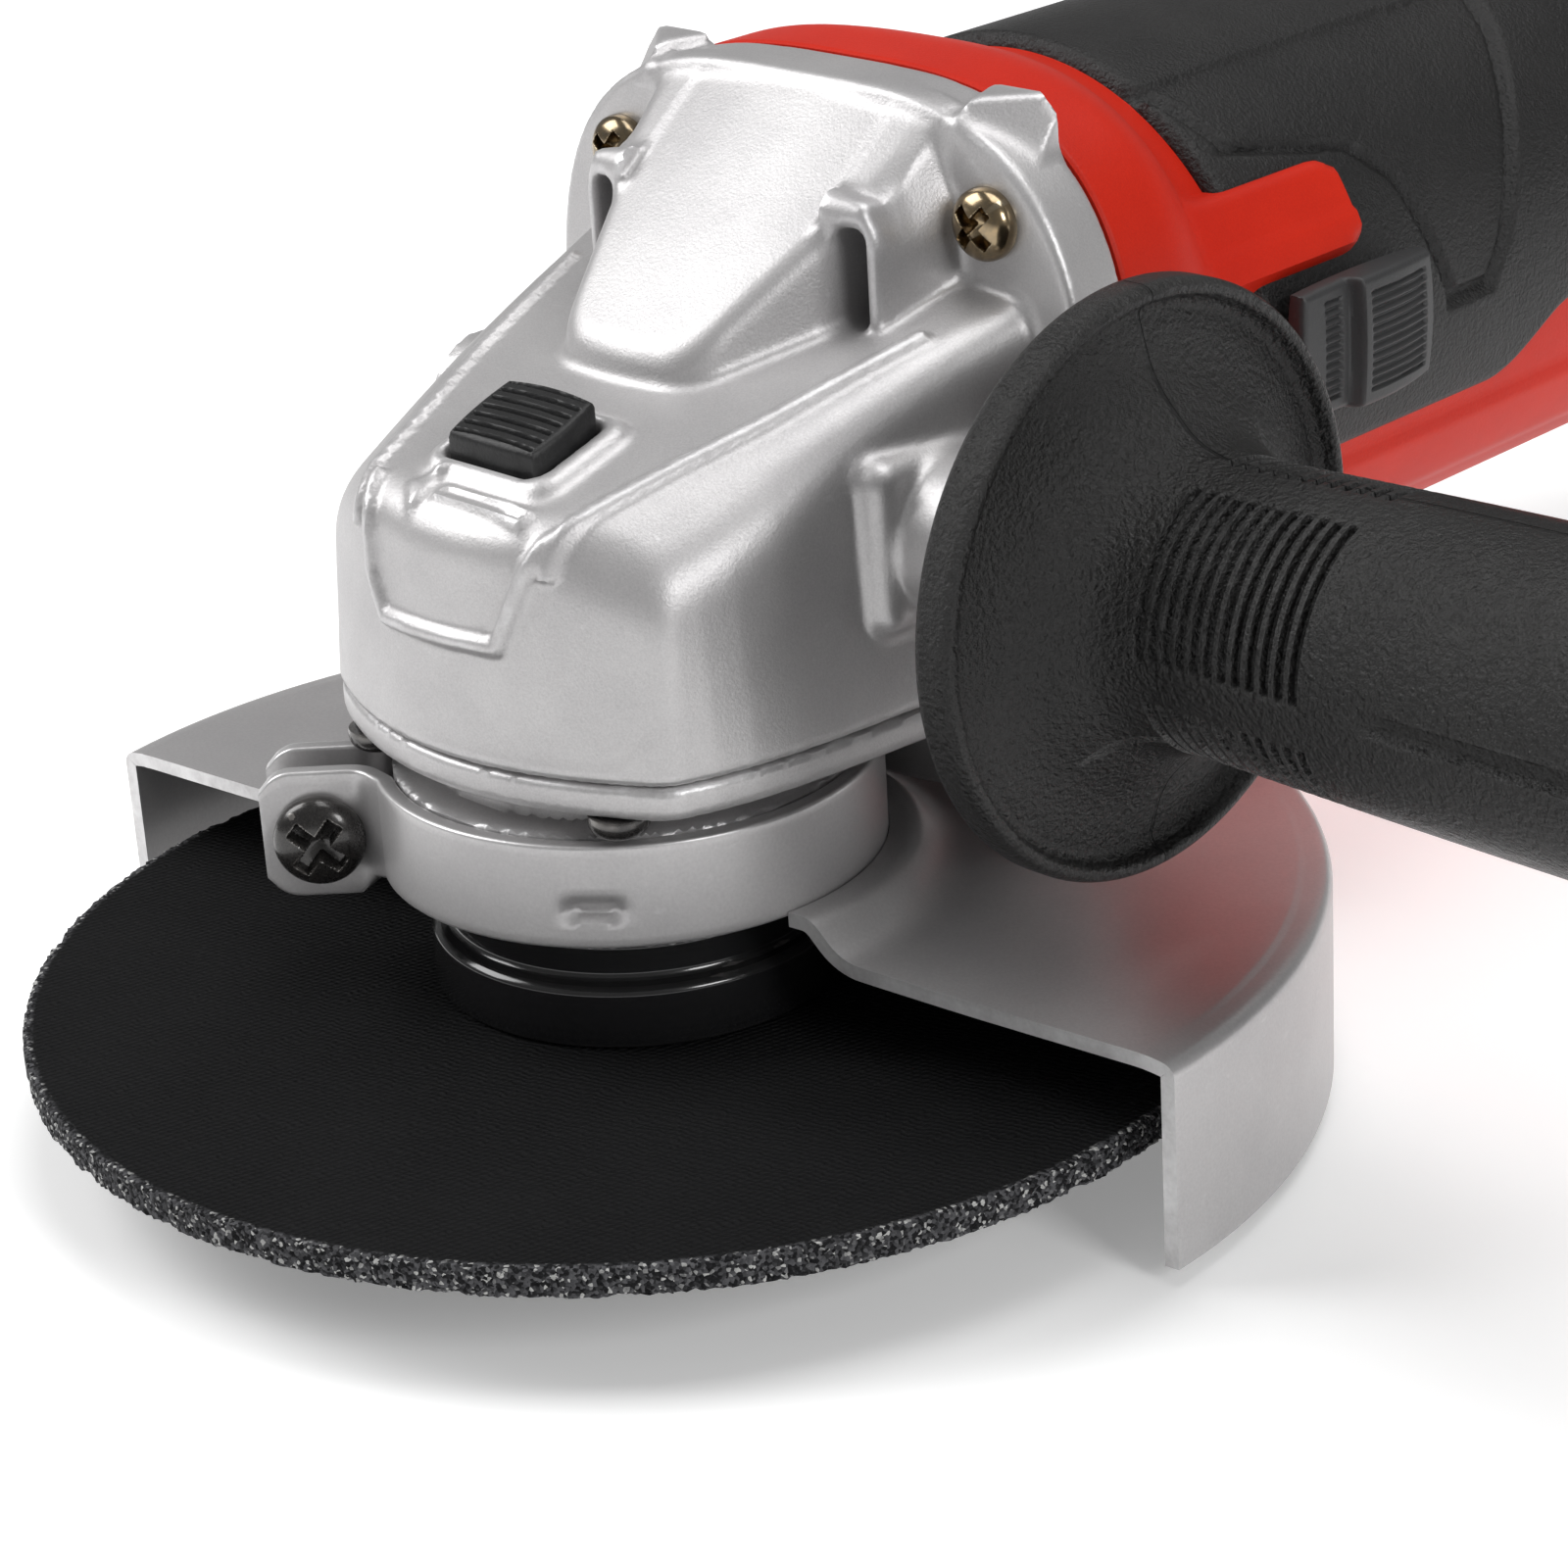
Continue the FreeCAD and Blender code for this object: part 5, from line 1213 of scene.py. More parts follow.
    def outside(self, x: Array, y: Array, z: Array) -> Array:
        """The whole casting before anything is cut from it.

        Args:
            x: places across the grinder.
            y: places along it.
            z: heights.

        Returns:
            The field, negative inside.
        """
        side = np.abs(x)
        body = self.casing(x, y, z)
        floor = np.where(y < 20.0, COVER_TOP + 0.1, COVER_TOP + 0.1 - (y - 20.0) * 1.25)
        body = soft_max(body, floor - z, 0.9)
        body = np.maximum(body, y - self.back_end)
        offsets = (side - self.boss_at, y - HANDLE_Y, z - HANDLE_Z)
        boss = block(offsets, (self.boss_depth, *self.boss_half), 2.6)
        hub = rod(np.sqrt((y - HANDLE_Y) ** 2 + (z - HANDLE_Z) ** 2), side, self.hub_radius, *self.hub_span)
        boss = soft_min(boss, hub, 1.0)
        body = soft_min(body, boss, 1.2)
        hump = np.maximum(self.hump(x, y, z), np.maximum(y - self.back_end, 50.0 - z))
        body = soft_min(body, hump, 1.2)
        crest = np.minimum(self.hump_height + self.hump_slope * (y - self.hump_start), FLANGE_TOP - 1.5)
        crest = crest + 2.6 * ramp_between(21.5 - y, 0.0, 3.5) - self.hump_crown * x**2 - 0.2
        shallow = 0.45 * np.maximum(side - 16.6, 0) * ramp_between(y, 20.0, 24.0)
        crest = crest - 1.7 * np.maximum(side - 18.4, 0) - shallow
        cheek = soft_max(side - 19.9 - 0.10 * (y - 18.0), (z - crest) * 0.6, 0.8)
        cheek = soft_max(cheek, 17.2 + 0.18 * (side - 16.0) - y, 0.8)
        cheek = np.maximum(cheek, np.maximum(np.maximum(y - self.back_end, 55.0 - z), 13.6 - side))
        body = soft_min(body, cheek, 1.0)
        ring = self.ring(x, z)
        plate = soft_max(ring, np.maximum(self.post_y - y, y - FLANGE_BACK + 0.1), 1.0)
        body = soft_min(body, plate, 1.2)
        lugs = np.maximum(self.lugs(x, y, z), self.post_y - y)
        return soft_max(soft_min(body, lugs, 0.8), z - FLANGE_TOP, 0.6)

    def embossing(self, x: Array, y: Array, z: Array) -> Array:
        """Height of the raised lines: the bead round the deck, and the spin arrow.

        Args:
            x: places across the grinder.
            y: places along it.
            z: heights.

        Returns:
            How far the surface is raised, in millimetres.
        """
        side = np.abs(x)
        plan = near_line(side, y, 0.0, [(*place, 0.0) for place in self.deck_bead])
        across = np.where(z > 55.5 + self.deck_slope * y, plan, 9.0)
        upright = near_line(x, 0.0, z, [(place[0], 0.0, place[1]) for place in self.nose_bead])
        bead = np.minimum(across, np.where(y < -17.5, upright, 9.0))
        raised = self.bead_height * np.exp(-((bead / self.bead_width) ** 4)) * (side < 29.5) * (z > 40.0)
        bar = np.maximum(np.abs(x - 3.4) - 6.0, np.abs(y + 18.7) - 1.0)
        head = np.maximum((-x - 7.2) * 0.9, (np.abs(y + 18.7) - (x + 7.2) * 0.9) * 0.75)
        head = np.maximum(head, x + 4.2)
        frame_line = np.abs(bar + 0.35) - 0.35
        arrow = 0.5 * (1 - ramp_between(np.minimum(frame_line, head), -0.2, 0.3)) * (z > 49.0)
        return raised + arrow

    def cavity(self, x: Array, y: Array, z: Array) -> Array:
        """The room inside: gear chamber, motor opening, air ducts, bores and the button's pocket.

        Args:
            x: places across the grinder.
            y: places along it.
            z: heights.

        Returns:
            The field, negative inside.
        """
        about_spindle = np.sqrt(x**2 + y**2)
        about_motor = np.sqrt(x**2 + (z - MOTOR_AXIS) ** 2)
        room = rod(about_spindle, z, 19.6, 12.0, 44.5)
        room = np.minimum(room, rod(about_motor, y, 9.5, 0.0, 26.5))
        room = np.minimum(room, rod(about_motor, y, 13.05, 26.0, 34.1))
        room = np.minimum(room, np.maximum(rod(about_motor, y, 30.0, 30.5, 40.0), 17.5 - about_motor))
        room = np.minimum(room, rod(about_motor, y, 17.6, 33.9, 40.0))
        room = np.minimum(room, rod(about_spindle, z, 5.55, 40.0, 55.9))
        socket = rod(np.sqrt((y - HANDLE_Y) ** 2 + (z - HANDLE_Z) ** 2), np.abs(x), 3.45, 23.0, 50.0)
        room = np.minimum(room, socket)
        pin = rod(np.sqrt(x**2 + (y + 10.6) ** 2), z, 3.3, 40.0, 60.0)
        return np.minimum(room, pin)

    def openings(self, x: Array, y: Array, z: Array) -> Array:
        """The holes with a rounded lip: an air slot each side of the hump, and the button's pocket.

        Args:
            x: places across the grinder.
            y: places along it.
            z: heights.

        Returns:
            The field, negative inside.
        """
        slot = block((np.abs(x) - self.slot_x, y - 25.0, z - self.slot_z), (self.slot_half, 12.0, 5.0), 1.3)
        half_x, half_y = self.button_half
        pocket = block((x, y - self.button_y, z - 62.0), (half_x + 0.25, half_y + 0.25, 7.6), 1.8)
        return np.minimum(slot, pocket)

    def field(self, x: Array, y: Array, z: Array) -> Array:
        """The finished casting: outside, collar round the button, embossing, minus the cavity.

        Args:
            x: places across the grinder.
            y: places along it.
            z: heights.

        Returns:
            The field, negative inside.
        """
        solid = self.outside(x, y, z)
        half_x, half_y = self.button_half
        slab_top = self.button_deck(y) + 1.15
        collar = block((x - 0.4, y - self.button_y, z - 54.0), (half_x + 2.0, half_y + 1.5, 9.0), 2.6)
        collar = soft_max(collar, (z - slab_top) * 0.95, 1.2)
        collar = np.maximum(collar, 50.0 - z)
        solid = soft_min(solid, collar, 1.6)
        solid = solid - self.embossing(x, y, z)
        solid = soft_max(solid, -self.openings(x, y, z), 0.9)
        return np.maximum(solid, -self.cavity(x, y, z))

    def cover(self, x: Array, y: Array, z: Array) -> Array:
        """The cover plate that closes the head from below, with the neck that the guard grips.

        Args:
            x: places across the grinder.
            y: places along it.
            z: heights.

        Returns:
            The field, negative inside.
        """
        plate = self.casing(x, y, np.full_like(z, COVER_TOP + 1.2)) + 0.12
        plate = soft_max(plate, 26.8 - z, 1.2)
        plate = soft_max(plate, z - COVER_TOP + 0.08, 0.8)
        plate = np.maximum(plate, y - 21.8)
        radius = np.sqrt(x**2 + y**2)
        neck = np.minimum(rod(radius, z, 23.3, 12.0, 23.8), rod(radius, z, 19.5, 12.0, 27.5))
        solid = soft_min(plate, neck, 0.6)
        bore = np.minimum(rod(radius, z, 16.05, 17.0, 40.0), rod(radius, z, 13.05, 14.5, 17.1))
        return np.maximum(solid, -np.minimum(bore, rod(radius, z, 9.6, 0.0, 20.0)))

    def build(self) -> None:
        """Casts the head and its cover."""
        casting = cast_skin(
            self.field,
            (-FLANGE_HALF - 1.0, self.front - 1.5, 11.0),
            (FLANGE_HALF + 1.0, FLANGE_BACK + 1.0, FLANGE_TOP + 1.0),
            self.cell,
        )
        self.put("gear_head_casting", casting, CAST, ["gear_housing"], "cast_aluminium", sharp=50.0)
        cover = cast_skin(self.cover, (-34.0, -26.0, 11.0), (34.0, 24.0, 32.0), self.cell)
        self.put("bearing_cover_casting", cover, CAST, ["bearing_cover"], "cast_aluminium", sharp=50.0)


# ------------------------------------------------------------------ screws

@dataclass
class PanScrew:
    """A cross-recess screw with a domed head, which stands on z = 0 and points up before it is placed."""

    head_radius: float
    head_height: float
    shank_radius: float
    shank_length: float
    turn: float = 0.3
    count: int = 88

    def skin(self) -> Skin:
        """Dome, underside and shank as one turned profile, with the cross pressed into the dome."""
        big, tall = self.head_radius, self.head_height
        r = np.linspace(0, big, 48)
        dome = tall * (0.28 + 0.72 * np.sqrt(np.clip(1 - (r / big) ** 2.5, 0, 1)))
        rest = np.array([
            (big, 0.12 * tall), (0.97 * big, 0.0), (self.shank_radius, 0.0),
            (self.shank_radius, -self.shank_length + 0.4), (self.shank_radius - 0.4, -self.shank_length),
            (0.0, -self.shank_length),
        ])
        profile = np.vstack([np.stack([r, dome], -1), rest])
        return turned(profile, Axis.Z, count=self.count, shape=self._recess)

    def _recess(self, r: Array, h: Array, angle: Array) -> tuple[Array, Array]:
        """Lowers the dome inside a cross of two tapered arms, deepest at its middle.

        Args:
            r: radius.
            h: height along the axis.
            angle: angle about the axis.

        Returns:
            The new radius and height.
        """
        big = self.head_radius
        x, y = np.abs(r * np.cos(angle - self.turn)), np.abs(r * np.sin(angle - self.turn))
        half, long = 0.155 * big, 0.64 * big
        arms = np.minimum(np.maximum(x - half, y - long), np.maximum(y - half, x - long))
        arms = np.minimum(arms, (x + y) * 0.75 - 0.26 * big)
        into = 1 - ramp_between(arms, -0.03 * big, 0.045 * big)
        depth = into * (0.85 - 0.40 * np.clip(r / long, 0, 1)) * self.head_height
        return r, np.where(h > 0.25 * self.head_height, h - depth, h)


def driven(screw: PanScrew, places: Sequence[Sequence[float]], towards: Sequence[float]) -> Skin:
    """Copies of a screw at each place, heads facing one way, each turned a little further.

    Args:
        screw: the screw.
        places: where each head's seat is.
        towards: the way the heads face.

    Returns:
        All the screws as one skin of separate shells.
    """
    one = screw.skin()
    facing = Vector(towards).to_track_quat("Z", "Y").to_matrix()
    made = []
    for k, place in enumerate(places):
        turn = Matrix.Rotation(0.7 * k, 4, "Z")
        made.append(one.placed(Matrix.Translation(place) @ facing.to_4x4() @ turn))
    return joined(made)


@dataclass
class Fasteners(Assembly):
    """The cross-recess screws of the gear head: four in its cover, four in its flange."""

    cover_at: float = 17.3
    cover_seat: float = 26.8
    head_x: float = 25.0
    head_seat: float = 28.5

    def build(self) -> None:
        """Drives each group of screws."""
        signs = [(a, b) for a in (-1, 1) for b in (-1, 1)]
        seats = [(a * self.cover_at, b * self.cover_at, self.cover_seat) for a, b in signs]
        cover = driven(PanScrew(3.0, 2.5, 1.5, 6.0), seats, (0, 0, -1))
        self.put("cover_screws_panhead", cover, BLACK_SCREW, ["cover_screws"], "black_screw")
        seats = [(a * self.head_x, self.head_seat, MOTOR_AXIS + b * self.head_x) for a, b in signs]
        head = driven(PanScrew(3.6, 2.9, 1.9, 17.0, count=160), seats, (0, -1, 0))
        self.put("head_screws_panhead", head, BRONZE_SCREW, ["head_screws"], "bronze_screw")


@dataclass
class SpindleLock(Assembly):
    """The ribbed lock button in its pocket."""

    body = "spindle_lock"
    centre: tuple[float, float] = (0.0, -10.2)
    half: tuple[float, float] = (6.35, 4.4)
    proud: float = 3.45
    tilt: float = 0.36
    ribs: int = 6

    def top(self, x: Array, y: Array) -> Array:
        """A sloping top with rounded ribs across it, inside a plain border.

        Args:
            x: places across the button, from its centre.
            y: places along it.

        Returns:
            The height, in the frame of the grinder.
        """
        level = DECK_HEIGHT + DECK_SLOPE * self.centre[1] + self.proud + self.tilt * y - 0.006 * x**2
        pitch = 2 * (self.half[1] - 0.7) / self.ribs
        wave = np.abs(np.cos(np.pi * y / pitch + np.pi / 2 * (self.ribs % 2 - 1)))
        inside_x, inside_y = self.half[0] - np.abs(x), self.half[1] - np.abs(y)
        border = ramp_between(inside_x, 0.75, 1.15) * ramp_between(inside_y, 0.5, 0.8)
        return level - 0.60 * border * (1 - ramp_between(wave, 0.25, 0.75))

    def build(self) -> None:
        """Moulds the button."""
        button = pillow(self.half, 0.14, (72, 132), self.top, 54.7, 0.7)
        button = button.placed(Matrix.Translation((*self.centre, 0.0)))
        self.put("lock_button_ribbed", button, BLACK_PLASTIC, ["lock_button"], "black_plastic")


# ------------------------------------------------------------------ disc, flange and nut

@dataclass
class Wheel(Assembly):
    """What turns with the spindle and shows: disc, flange and lock nut."""

    body = "spindle"
    rim_rows: int = 9
    count: int = 960
    hole: float = 11.2
    roughness: float = 0.16
    chip: float = 0.30
    seed: int = 7

    def disc(self) -> Skin:
        """A flat ring whose rim is broken grit: a slow random wave of chips and a fine random jitter."""
        radius, low = DISC_RADIUS, DISC_BOTTOM
        rim = np.stack([np.full(self.rim_rows, radius), np.linspace(-0.12, low + 0.12, self.rim_rows)], -1)
        faces = np.array([self.hole, 24.0, 40.0, 52.0, radius - 1.6, radius - 0.5])
        top = np.stack([faces, np.zeros(6)], -1)
        bottom = np.stack([faces[::-1], np.full(6, low)], -1)
        profile = np.vstack([top, rim, bottom])
        chance = np.random.default_rng(self.seed)
        jitter = chance.normal(0, 1, (len(profile), self.count))
        waves = np.arange(9, 150)
        phase = chance.uniform(0, TURN, (2, len(waves)))

        def ragged(r: Array, h: Array, angle: Array) -> tuple[Array, Array]:
            """Bites into the rim and roughens it; the faces stay flat.

            Args:
                r: radius.
                h: height along the axis.
                angle: angle about the axis.

            Returns:
                The new radius and height.
            """
            turns = zip(waves, *phase)
            slow = sum(np.cos(n * angle + p + 0.6 * h * np.sin(q)) / n**0.35 for n, p, q in turns)
            bite = np.clip(slow / 5.0, 0, 1.6) * self.chip
            edge = ramp_between(r, radius - 1.0, radius - 0.2)
            near = np.clip(1.2 * np.abs((h - low / 2) / (low / 2)) ** 4, 0, 1)
            cut = edge * (bite * (0.5 + near) + self.roughness * np.abs(jitter) + 0.02)
            lift = edge * 0.07 * jitter[:, ::-1] * ramp_between(r, radius - 0.3, radius)
            return r - cut, np.clip(h + lift, low, 0.0)

        return turned(profile, Axis.Z, count=self.count, shape=ragged, loop=True)

    def flange(self) -> Skin:
        """The stepped clamping flange with broken corners."""
        outline = [
            (8.1, 0.02), (20.4, 0.02), (21.0, 0.4, 0.3), (21.0, 6.0, 0.3), (20.4, 6.6, 0.2), (19.4, 6.7, 0.2),
            (19.0, 7.2, 0.3), (19.0, 10.1, 0.3), (18.6, 10.5, 0.2), (8.1, 10.5),
        ]
        return turned(rounded(outline, 5), Axis.Z, count=160, loop=True)

    def build(self) -> None:
        """Makes the disc and flange, and dresses the nut."""
        self.put("abrasive_disc", self.disc(), ABRASIVE, ["grinding_disc"], "abrasive", sharp=60.0)
        self.put("clamping_flange", self.flange(), BLACK_OXIDE, ["inner_flange"], "black_oxide")
        nut = softened("clamping_nut", 0.35)
        self.put("clamping_nut_finished", nut, BLACK_OXIDE, ["clamping_nut"], "black_oxide")


# ------------------------------------------------------------------ guard

def sheet_metal(outer: Array, inner: Array) -> Skin:
    """A closed sheet between two grids of the same size, with strips along the four edges.

    Args:
        outer: (rows, columns, 3) points of one face.
        inner: the points of the other face.

    Returns:
        The closed skin.
    """
    edges = [
        grid(np.stack([outer[0], inner[0]])), grid(np.stack([outer[-1], inner[-1]])),
        grid(np.stack([outer[:, 0], inner[:, 0]])), grid(np.stack([outer[:, -1], inner[:, -1]])),
    ]
    return turned_out(welded(joined([grid(outer), grid(inner), *edges])))


def break_edges(piece: bpy.types.Object, width: float, angle: float = 50.0) -> None:
    """Adds a live bevel of width millimetres on edges sharper than angle degrees.

    Args:
        piece: the piece to finish.
        width: reach of the break from each edge.
        angle: the least angle of an edge that is broken.
    """
    bevel = piece.modifiers.new("broken_edges", "BEVEL")
    bevel.width, bevel.segments = width * MM, 3
    bevel.limit_method, bevel.angle_limit = "ANGLE", math.radians(angle)


@dataclass
class Guard(Assembly):
    """The pressed half guard, its clamp band and the clamp screw."""

    body = "guard"
    radius: float = 69.0
    sheet: float = 1.5
    top: float = 9.8
    skirt: float = -11.5
    chord: float = 6.2
    turn: float = 5.6
    bend: float = 5.5
    cone_outer: float = 31.5
    collar_radius: float = 25.3
    band: float = 1.8
    band_low: float = 13.0
    band_high: float = 23.6
    ear_at: float = 224.0
    ear_gap: float = 3.1
    ear_reach: float = 36.5
    ear_low: float = 10.2
    ear_bend: float = 2.6
    ear_round: float = 3.4
    stamp_at: float = -52.0
    stamp_height: float = 16.9
    stamp_depth: float = 0.9

    def half_shell(self) -> Skin:
        """Plate, shallow cone at the collar, bend and skirt, swept between the two straight edges.

        A point of radius r lies on the straight edge at angle -asin(chord / r), so the sweep at
        that radius runs from there to the mirror of it.
        """
        corners = [
            (25.4, 13.55), (28.0, 13.55, 1.6), (self.cone_outer, self.top + 0.15, 2.6),
            (46.0, self.top - 0.05, 3.0),
            (self.radius - 3.2, self.top, 2.0), (self.radius, self.top - 0.5, self.bend),
            (self.radius, self.top - self.bend - 1.5, 2.0), (self.radius, self.skirt),
        ]
        line = resampled(rounded(corners, 9), 1.6)
        along = np.gradient(line, axis=0)
        normal = np.stack([along[:, 1], -along[:, 0]], -1)
        normal /= np.linalg.norm(normal, axis=1, keepdims=True)
        under = line + normal * self.sheet
        across = np.linspace(0, 1, 150)
        grids = []
        for r, z in ((line[:, 0], line[:, 1]), (under[:, 0], under[:, 1])):
            start = -np.arcsin(self.chord / r)
            angle = start[:, None] + (math.pi - 2 * start)[:, None] * across + math.radians(self.turn)
            swell = 0.12 * np.sin(3.0 * angle) * ramp_between(r, 30, 60)[:, None] * (r < 66)[:, None]
            grids.append(np.stack([
                r[:, None] * np.cos(angle), r[:, None] * np.sin(angle), z[:, None] + swell * (z > 0)[:, None]
            ], -1))
        return sheet_metal(*grids)

    def collar(self) -> Skin:
        """The band round the neck and its two ears, as one strip of changing height along a path.

        The path is the circle of the band's middle, run off at each end into a straight ear; the
        strip's section is a rounded rectangle. The ears' ends are rounded by shortening the
        section as a quarter ellipse, and one stamped dimple is pushed into the band.
        """
        middle = self.collar_radius - self.band / 2
        ear = math.radians(self.ear_at)
        away = np.array([math.cos(ear), math.sin(ear)])
        side = np.array([-math.sin(ear), math.cos(ear)])
        sweep = np.linspace(math.radians(15.0), TURN - math.radians(15.0), 190) + ear
        circle = middle * np.stack([np.cos(sweep), np.sin(sweep)], -1)
        root = middle + 1.6
        tip, bend = away * self.ear_reach + side * self.ear_gap, away * root + side * self.ear_gap
        start = rounded([tip, (*bend, self.ear_bend), circle[0]], 7)
        finish = (start @ np.stack([away, side], -1)) * (1, -1) @ np.stack([away, side])
        path = np.vstack([resampled(start[:2], 0.5)[:-1], start[1:-1], circle, finish[::-1][1:-1],
                          resampled(finish[:2], 0.5)[::-1][1:]])
        along = np.gradient(path, axis=0)
        along /= np.linalg.norm(along, axis=1, keepdims=True)
        normal = np.stack([along[:, 1], -along[:, 0]], -1)
        out = path @ away
        is_ear = ramp_between(out, middle - 0.5, middle + 3.0)
        low = self.band_low + (self.ear_low - self.band_low) * is_ear
        high = np.full(len(path), self.band_high)
        left = np.clip((self.ear_reach - out) / self.ear_round, 0, 1)
        shrink = np.where(left < 1, np.sqrt(np.clip(1 - (1 - left) ** 2, 0.12, 1)), 1)
        low, high = low + (1 - shrink) * 3.2, high - (1 - shrink) * 3.2
        corner = 0.42
        a, b = self.band / 2, 1.0
        square = [(-a, -b, corner), (a, -b, corner), (a, b, corner), (-a, b, corner)]
        section = rounded(square, 4, closed=True)
        rise = section[:, 1]
        from_low, from_high = low[:, None] + (1 + rise[None, :]), high[:, None] - (1 - rise[None, :])
        z = np.where(rise[None, :] < 0, from_low, from_high)
        turn, share = len(section) // 4, np.linspace(0, 1, 14)[1:-1]
        outer = z[:, 2 * turn - 1:2 * turn] * (1 - share) + z[:, 2 * turn:2 * turn + 1] * share
        z = np.concatenate([z[:, :2 * turn], outer, z[:, 2 * turn:]], 1)
        across = np.concatenate([section[:2 * turn, 0], np.full(len(share), a), section[2 * turn:, 0]])
        angle = np.degrees(np.unwrap(np.arctan2(path[:, 1], path[:, 0])))
        near = np.abs((angle - self.stamp_at + 180.0) % 360.0 - 180.0)
        tall = np.abs(z - self.stamp_height)
        stamp = (1 - ramp_between(near, 4.5, 7.0))[:, None] * (1 - ramp_between(tall, 0.6, 1.2))
        reach = across[None, :] - self.stamp_depth * stamp * (across[None, :] > 0)
        xy = path[:, None, :] + normal[:, None, :] * reach[..., None]
        return swept(np.concatenate([xy, z[..., None]], -1))

    def build(self) -> None:
        """Presses the guard, bends the band and drives the clamp screw."""
        pressed = self.half_shell()
        shell = self.put("guard_pressing", pressed, GUARD_STEEL, ["guard_shell"], "guard_steel", sharp=45.0)
        break_edges(shell, 0.32)
        self.put("guard_clamp_band", self.collar(), GUARD_STEEL, ["guard_collar"], "guard_steel", sharp=45.0)
        ear = math.radians(self.ear_at)
        away = np.array([math.cos(ear), math.sin(ear), 0.0])
        side = np.array([-math.sin(ear), math.cos(ear), 0.0])
        facing = side if side @ (0.66, -0.64, 0.0) > 0 else -side
        seat = away * 30.8 + facing * (self.ear_gap + self.band / 2) + (0, 0, 16.6)
        screw = driven(PanScrew(4.6, 3.0, 2.0, 9.5, turn=0.9, count=120), [seat.tolist()], facing.tolist())
        self.put("guard_clamp_screw_panhead", screw, BLACK_SCREW, ["guard_clamp_screw"], "black_screw")
        nut = softened("guard_clamp_nut", 0.25)
        self.put("guard_clamp_nut_finished", nut, BLACK_SCREW, ["guard_clamp_nut"], "black_screw")


# ------------------------------------------------------------------ side handle

@dataclass
class SideHandle(Assembly):
    """The screwed-in side handle: hub, dished flange, grooved neck and grip."""

    body = "side_handle"
    groove_start: float = 63.6
    groove_pitch: float = 1.56
    grooves: int = 12
    groove_depth: float = 0.8
    panels: int = 4
    panel_share: float = 0.80
    panel_turn: float = 33.0
    slot_from: float = 91.0
    slot_to: float = 160.0
    slot_half: float = 1.1
    slot_depth: float = 0.8
    rows_per_groove: int = 9
    count: int = 300

    def outline(self) -> Array:
        """Radius against place along the handle, with closely spaced rows through the grooves."""
        start, stop = span("side_handle_grip", 0)
        corners = [
            (4.2, start), (8.3, start), (8.7, start + 0.5, 0.5), (9.6, 45.8, 3.0), (25.5, 50.2, 2.5),
            (27.4, 50.8, 0.6), (28.0, 51.6, 0.5), (28.0, 54.4, 0.7), (27.5, 55.3, 0.5), (26.6, 55.3, 0.4),
            (26.0, 54.0, 0.5), (25.2, 53.6, 0.6), (19.5, 55.2, 3.0), (14.6, 60.0, 3.5), (13.5, 64.0, 3.0),
            (14.2, 88.0, 12.0), (14.7, 118.0, 16.0), (14.2, 158.0, 9.0), (14.6, 167.0, 3.0),
            (14.5, stop - 2.2, 1.8), (12.6, stop, 1.4), (4.0, stop), (0.0, stop),
        ]
        line = resampled(rounded(corners, 5), 3.0)
        first, last = self.groove_start - 1.5, self.groove_start + self.grooves * self.groove_pitch + 1.5
        before, after = line[line[:, 1] < first], line[line[:, 1] > last]
        x = np.linspace(first, last, self.rows_per_groove * (self.grooves + 2))
        body = line[6:][np.argsort(line[6:, 1], kind="stable")]
        body = body[(body[:, 0] > 12.5) & (body[:, 1] > 53.0)]
        band = np.stack([np.interp(x, body[:, 1], body[:, 0]), x], -1)
        return np.vstack([before, band, after])

    def carved(self, r: Array, x: Array, angle: Array) -> tuple[Array, Array]:
        """Cuts the grooved panels round the neck and the long slot along the grip.

        A groove is a raised cosine of the place along the handle, and each panel fades at its two
        ends. The angle is measured from -Y towards +Z.

        Args:
            r: radius.
            x: place along the handle.
            angle: angle about its axis.

        Returns:
            The new radius and place.
        """
        about = np.degrees(angle) % 360.0 - 180.0
        seen = -about
        in_panel = np.abs((seen - self.panel_turn + 540.0 + 180.0 / self.panels) % (360.0 / self.panels)
                          - 180.0 / self.panels)
        panel = ramp_between(180.0 / self.panels * self.panel_share - in_panel, 0.0, 2.0)
        turns = (x - self.groove_start) / self.groove_pitch
        wave = ramp_between(0.5 - 0.5 * np.cos(TURN * turns), 0.22, 0.70)
        rows = (turns > 0) & (turns < self.grooves)
        cut = self.groove_depth * np.minimum(panel, wave) * rows
        off = np.abs((seen + 1.0 + 180.0) % 360.0 - 180.0) * np.pi / 180.0 * r
        beyond = np.maximum(np.maximum(self.slot_from - x, x - self.slot_to), 0)
        slot = 1 - ramp_between(np.sqrt(off**2 + beyond**2), self.slot_half - 0.35, self.slot_half + 0.1)
        return r - cut - self.slot_depth * slot * (r > 10), x

    def build(self) -> None:
        """Moulds the handle."""
        grip = turned(self.outline(), Axis.X, (0, HANDLE_Y, HANDLE_Z), self.count, self.carved)
        stands_for = ["side_handle_grip"]
        self.put("side_handle_moulding", grip, HANDLE_PLASTIC, stands_for, "black_plastic", sharp=48.0)


# ------------------------------------------------------------------ motor housing

def squarish(angle: Array, power: Array) -> Array:
    """Radius of the unit superellipse |cos|^n + |sin|^n = 1 at an angle."""
    return (np.abs(np.cos(angle)) ** power + np.abs(np.sin(angle)) ** power) ** (-1 / power)


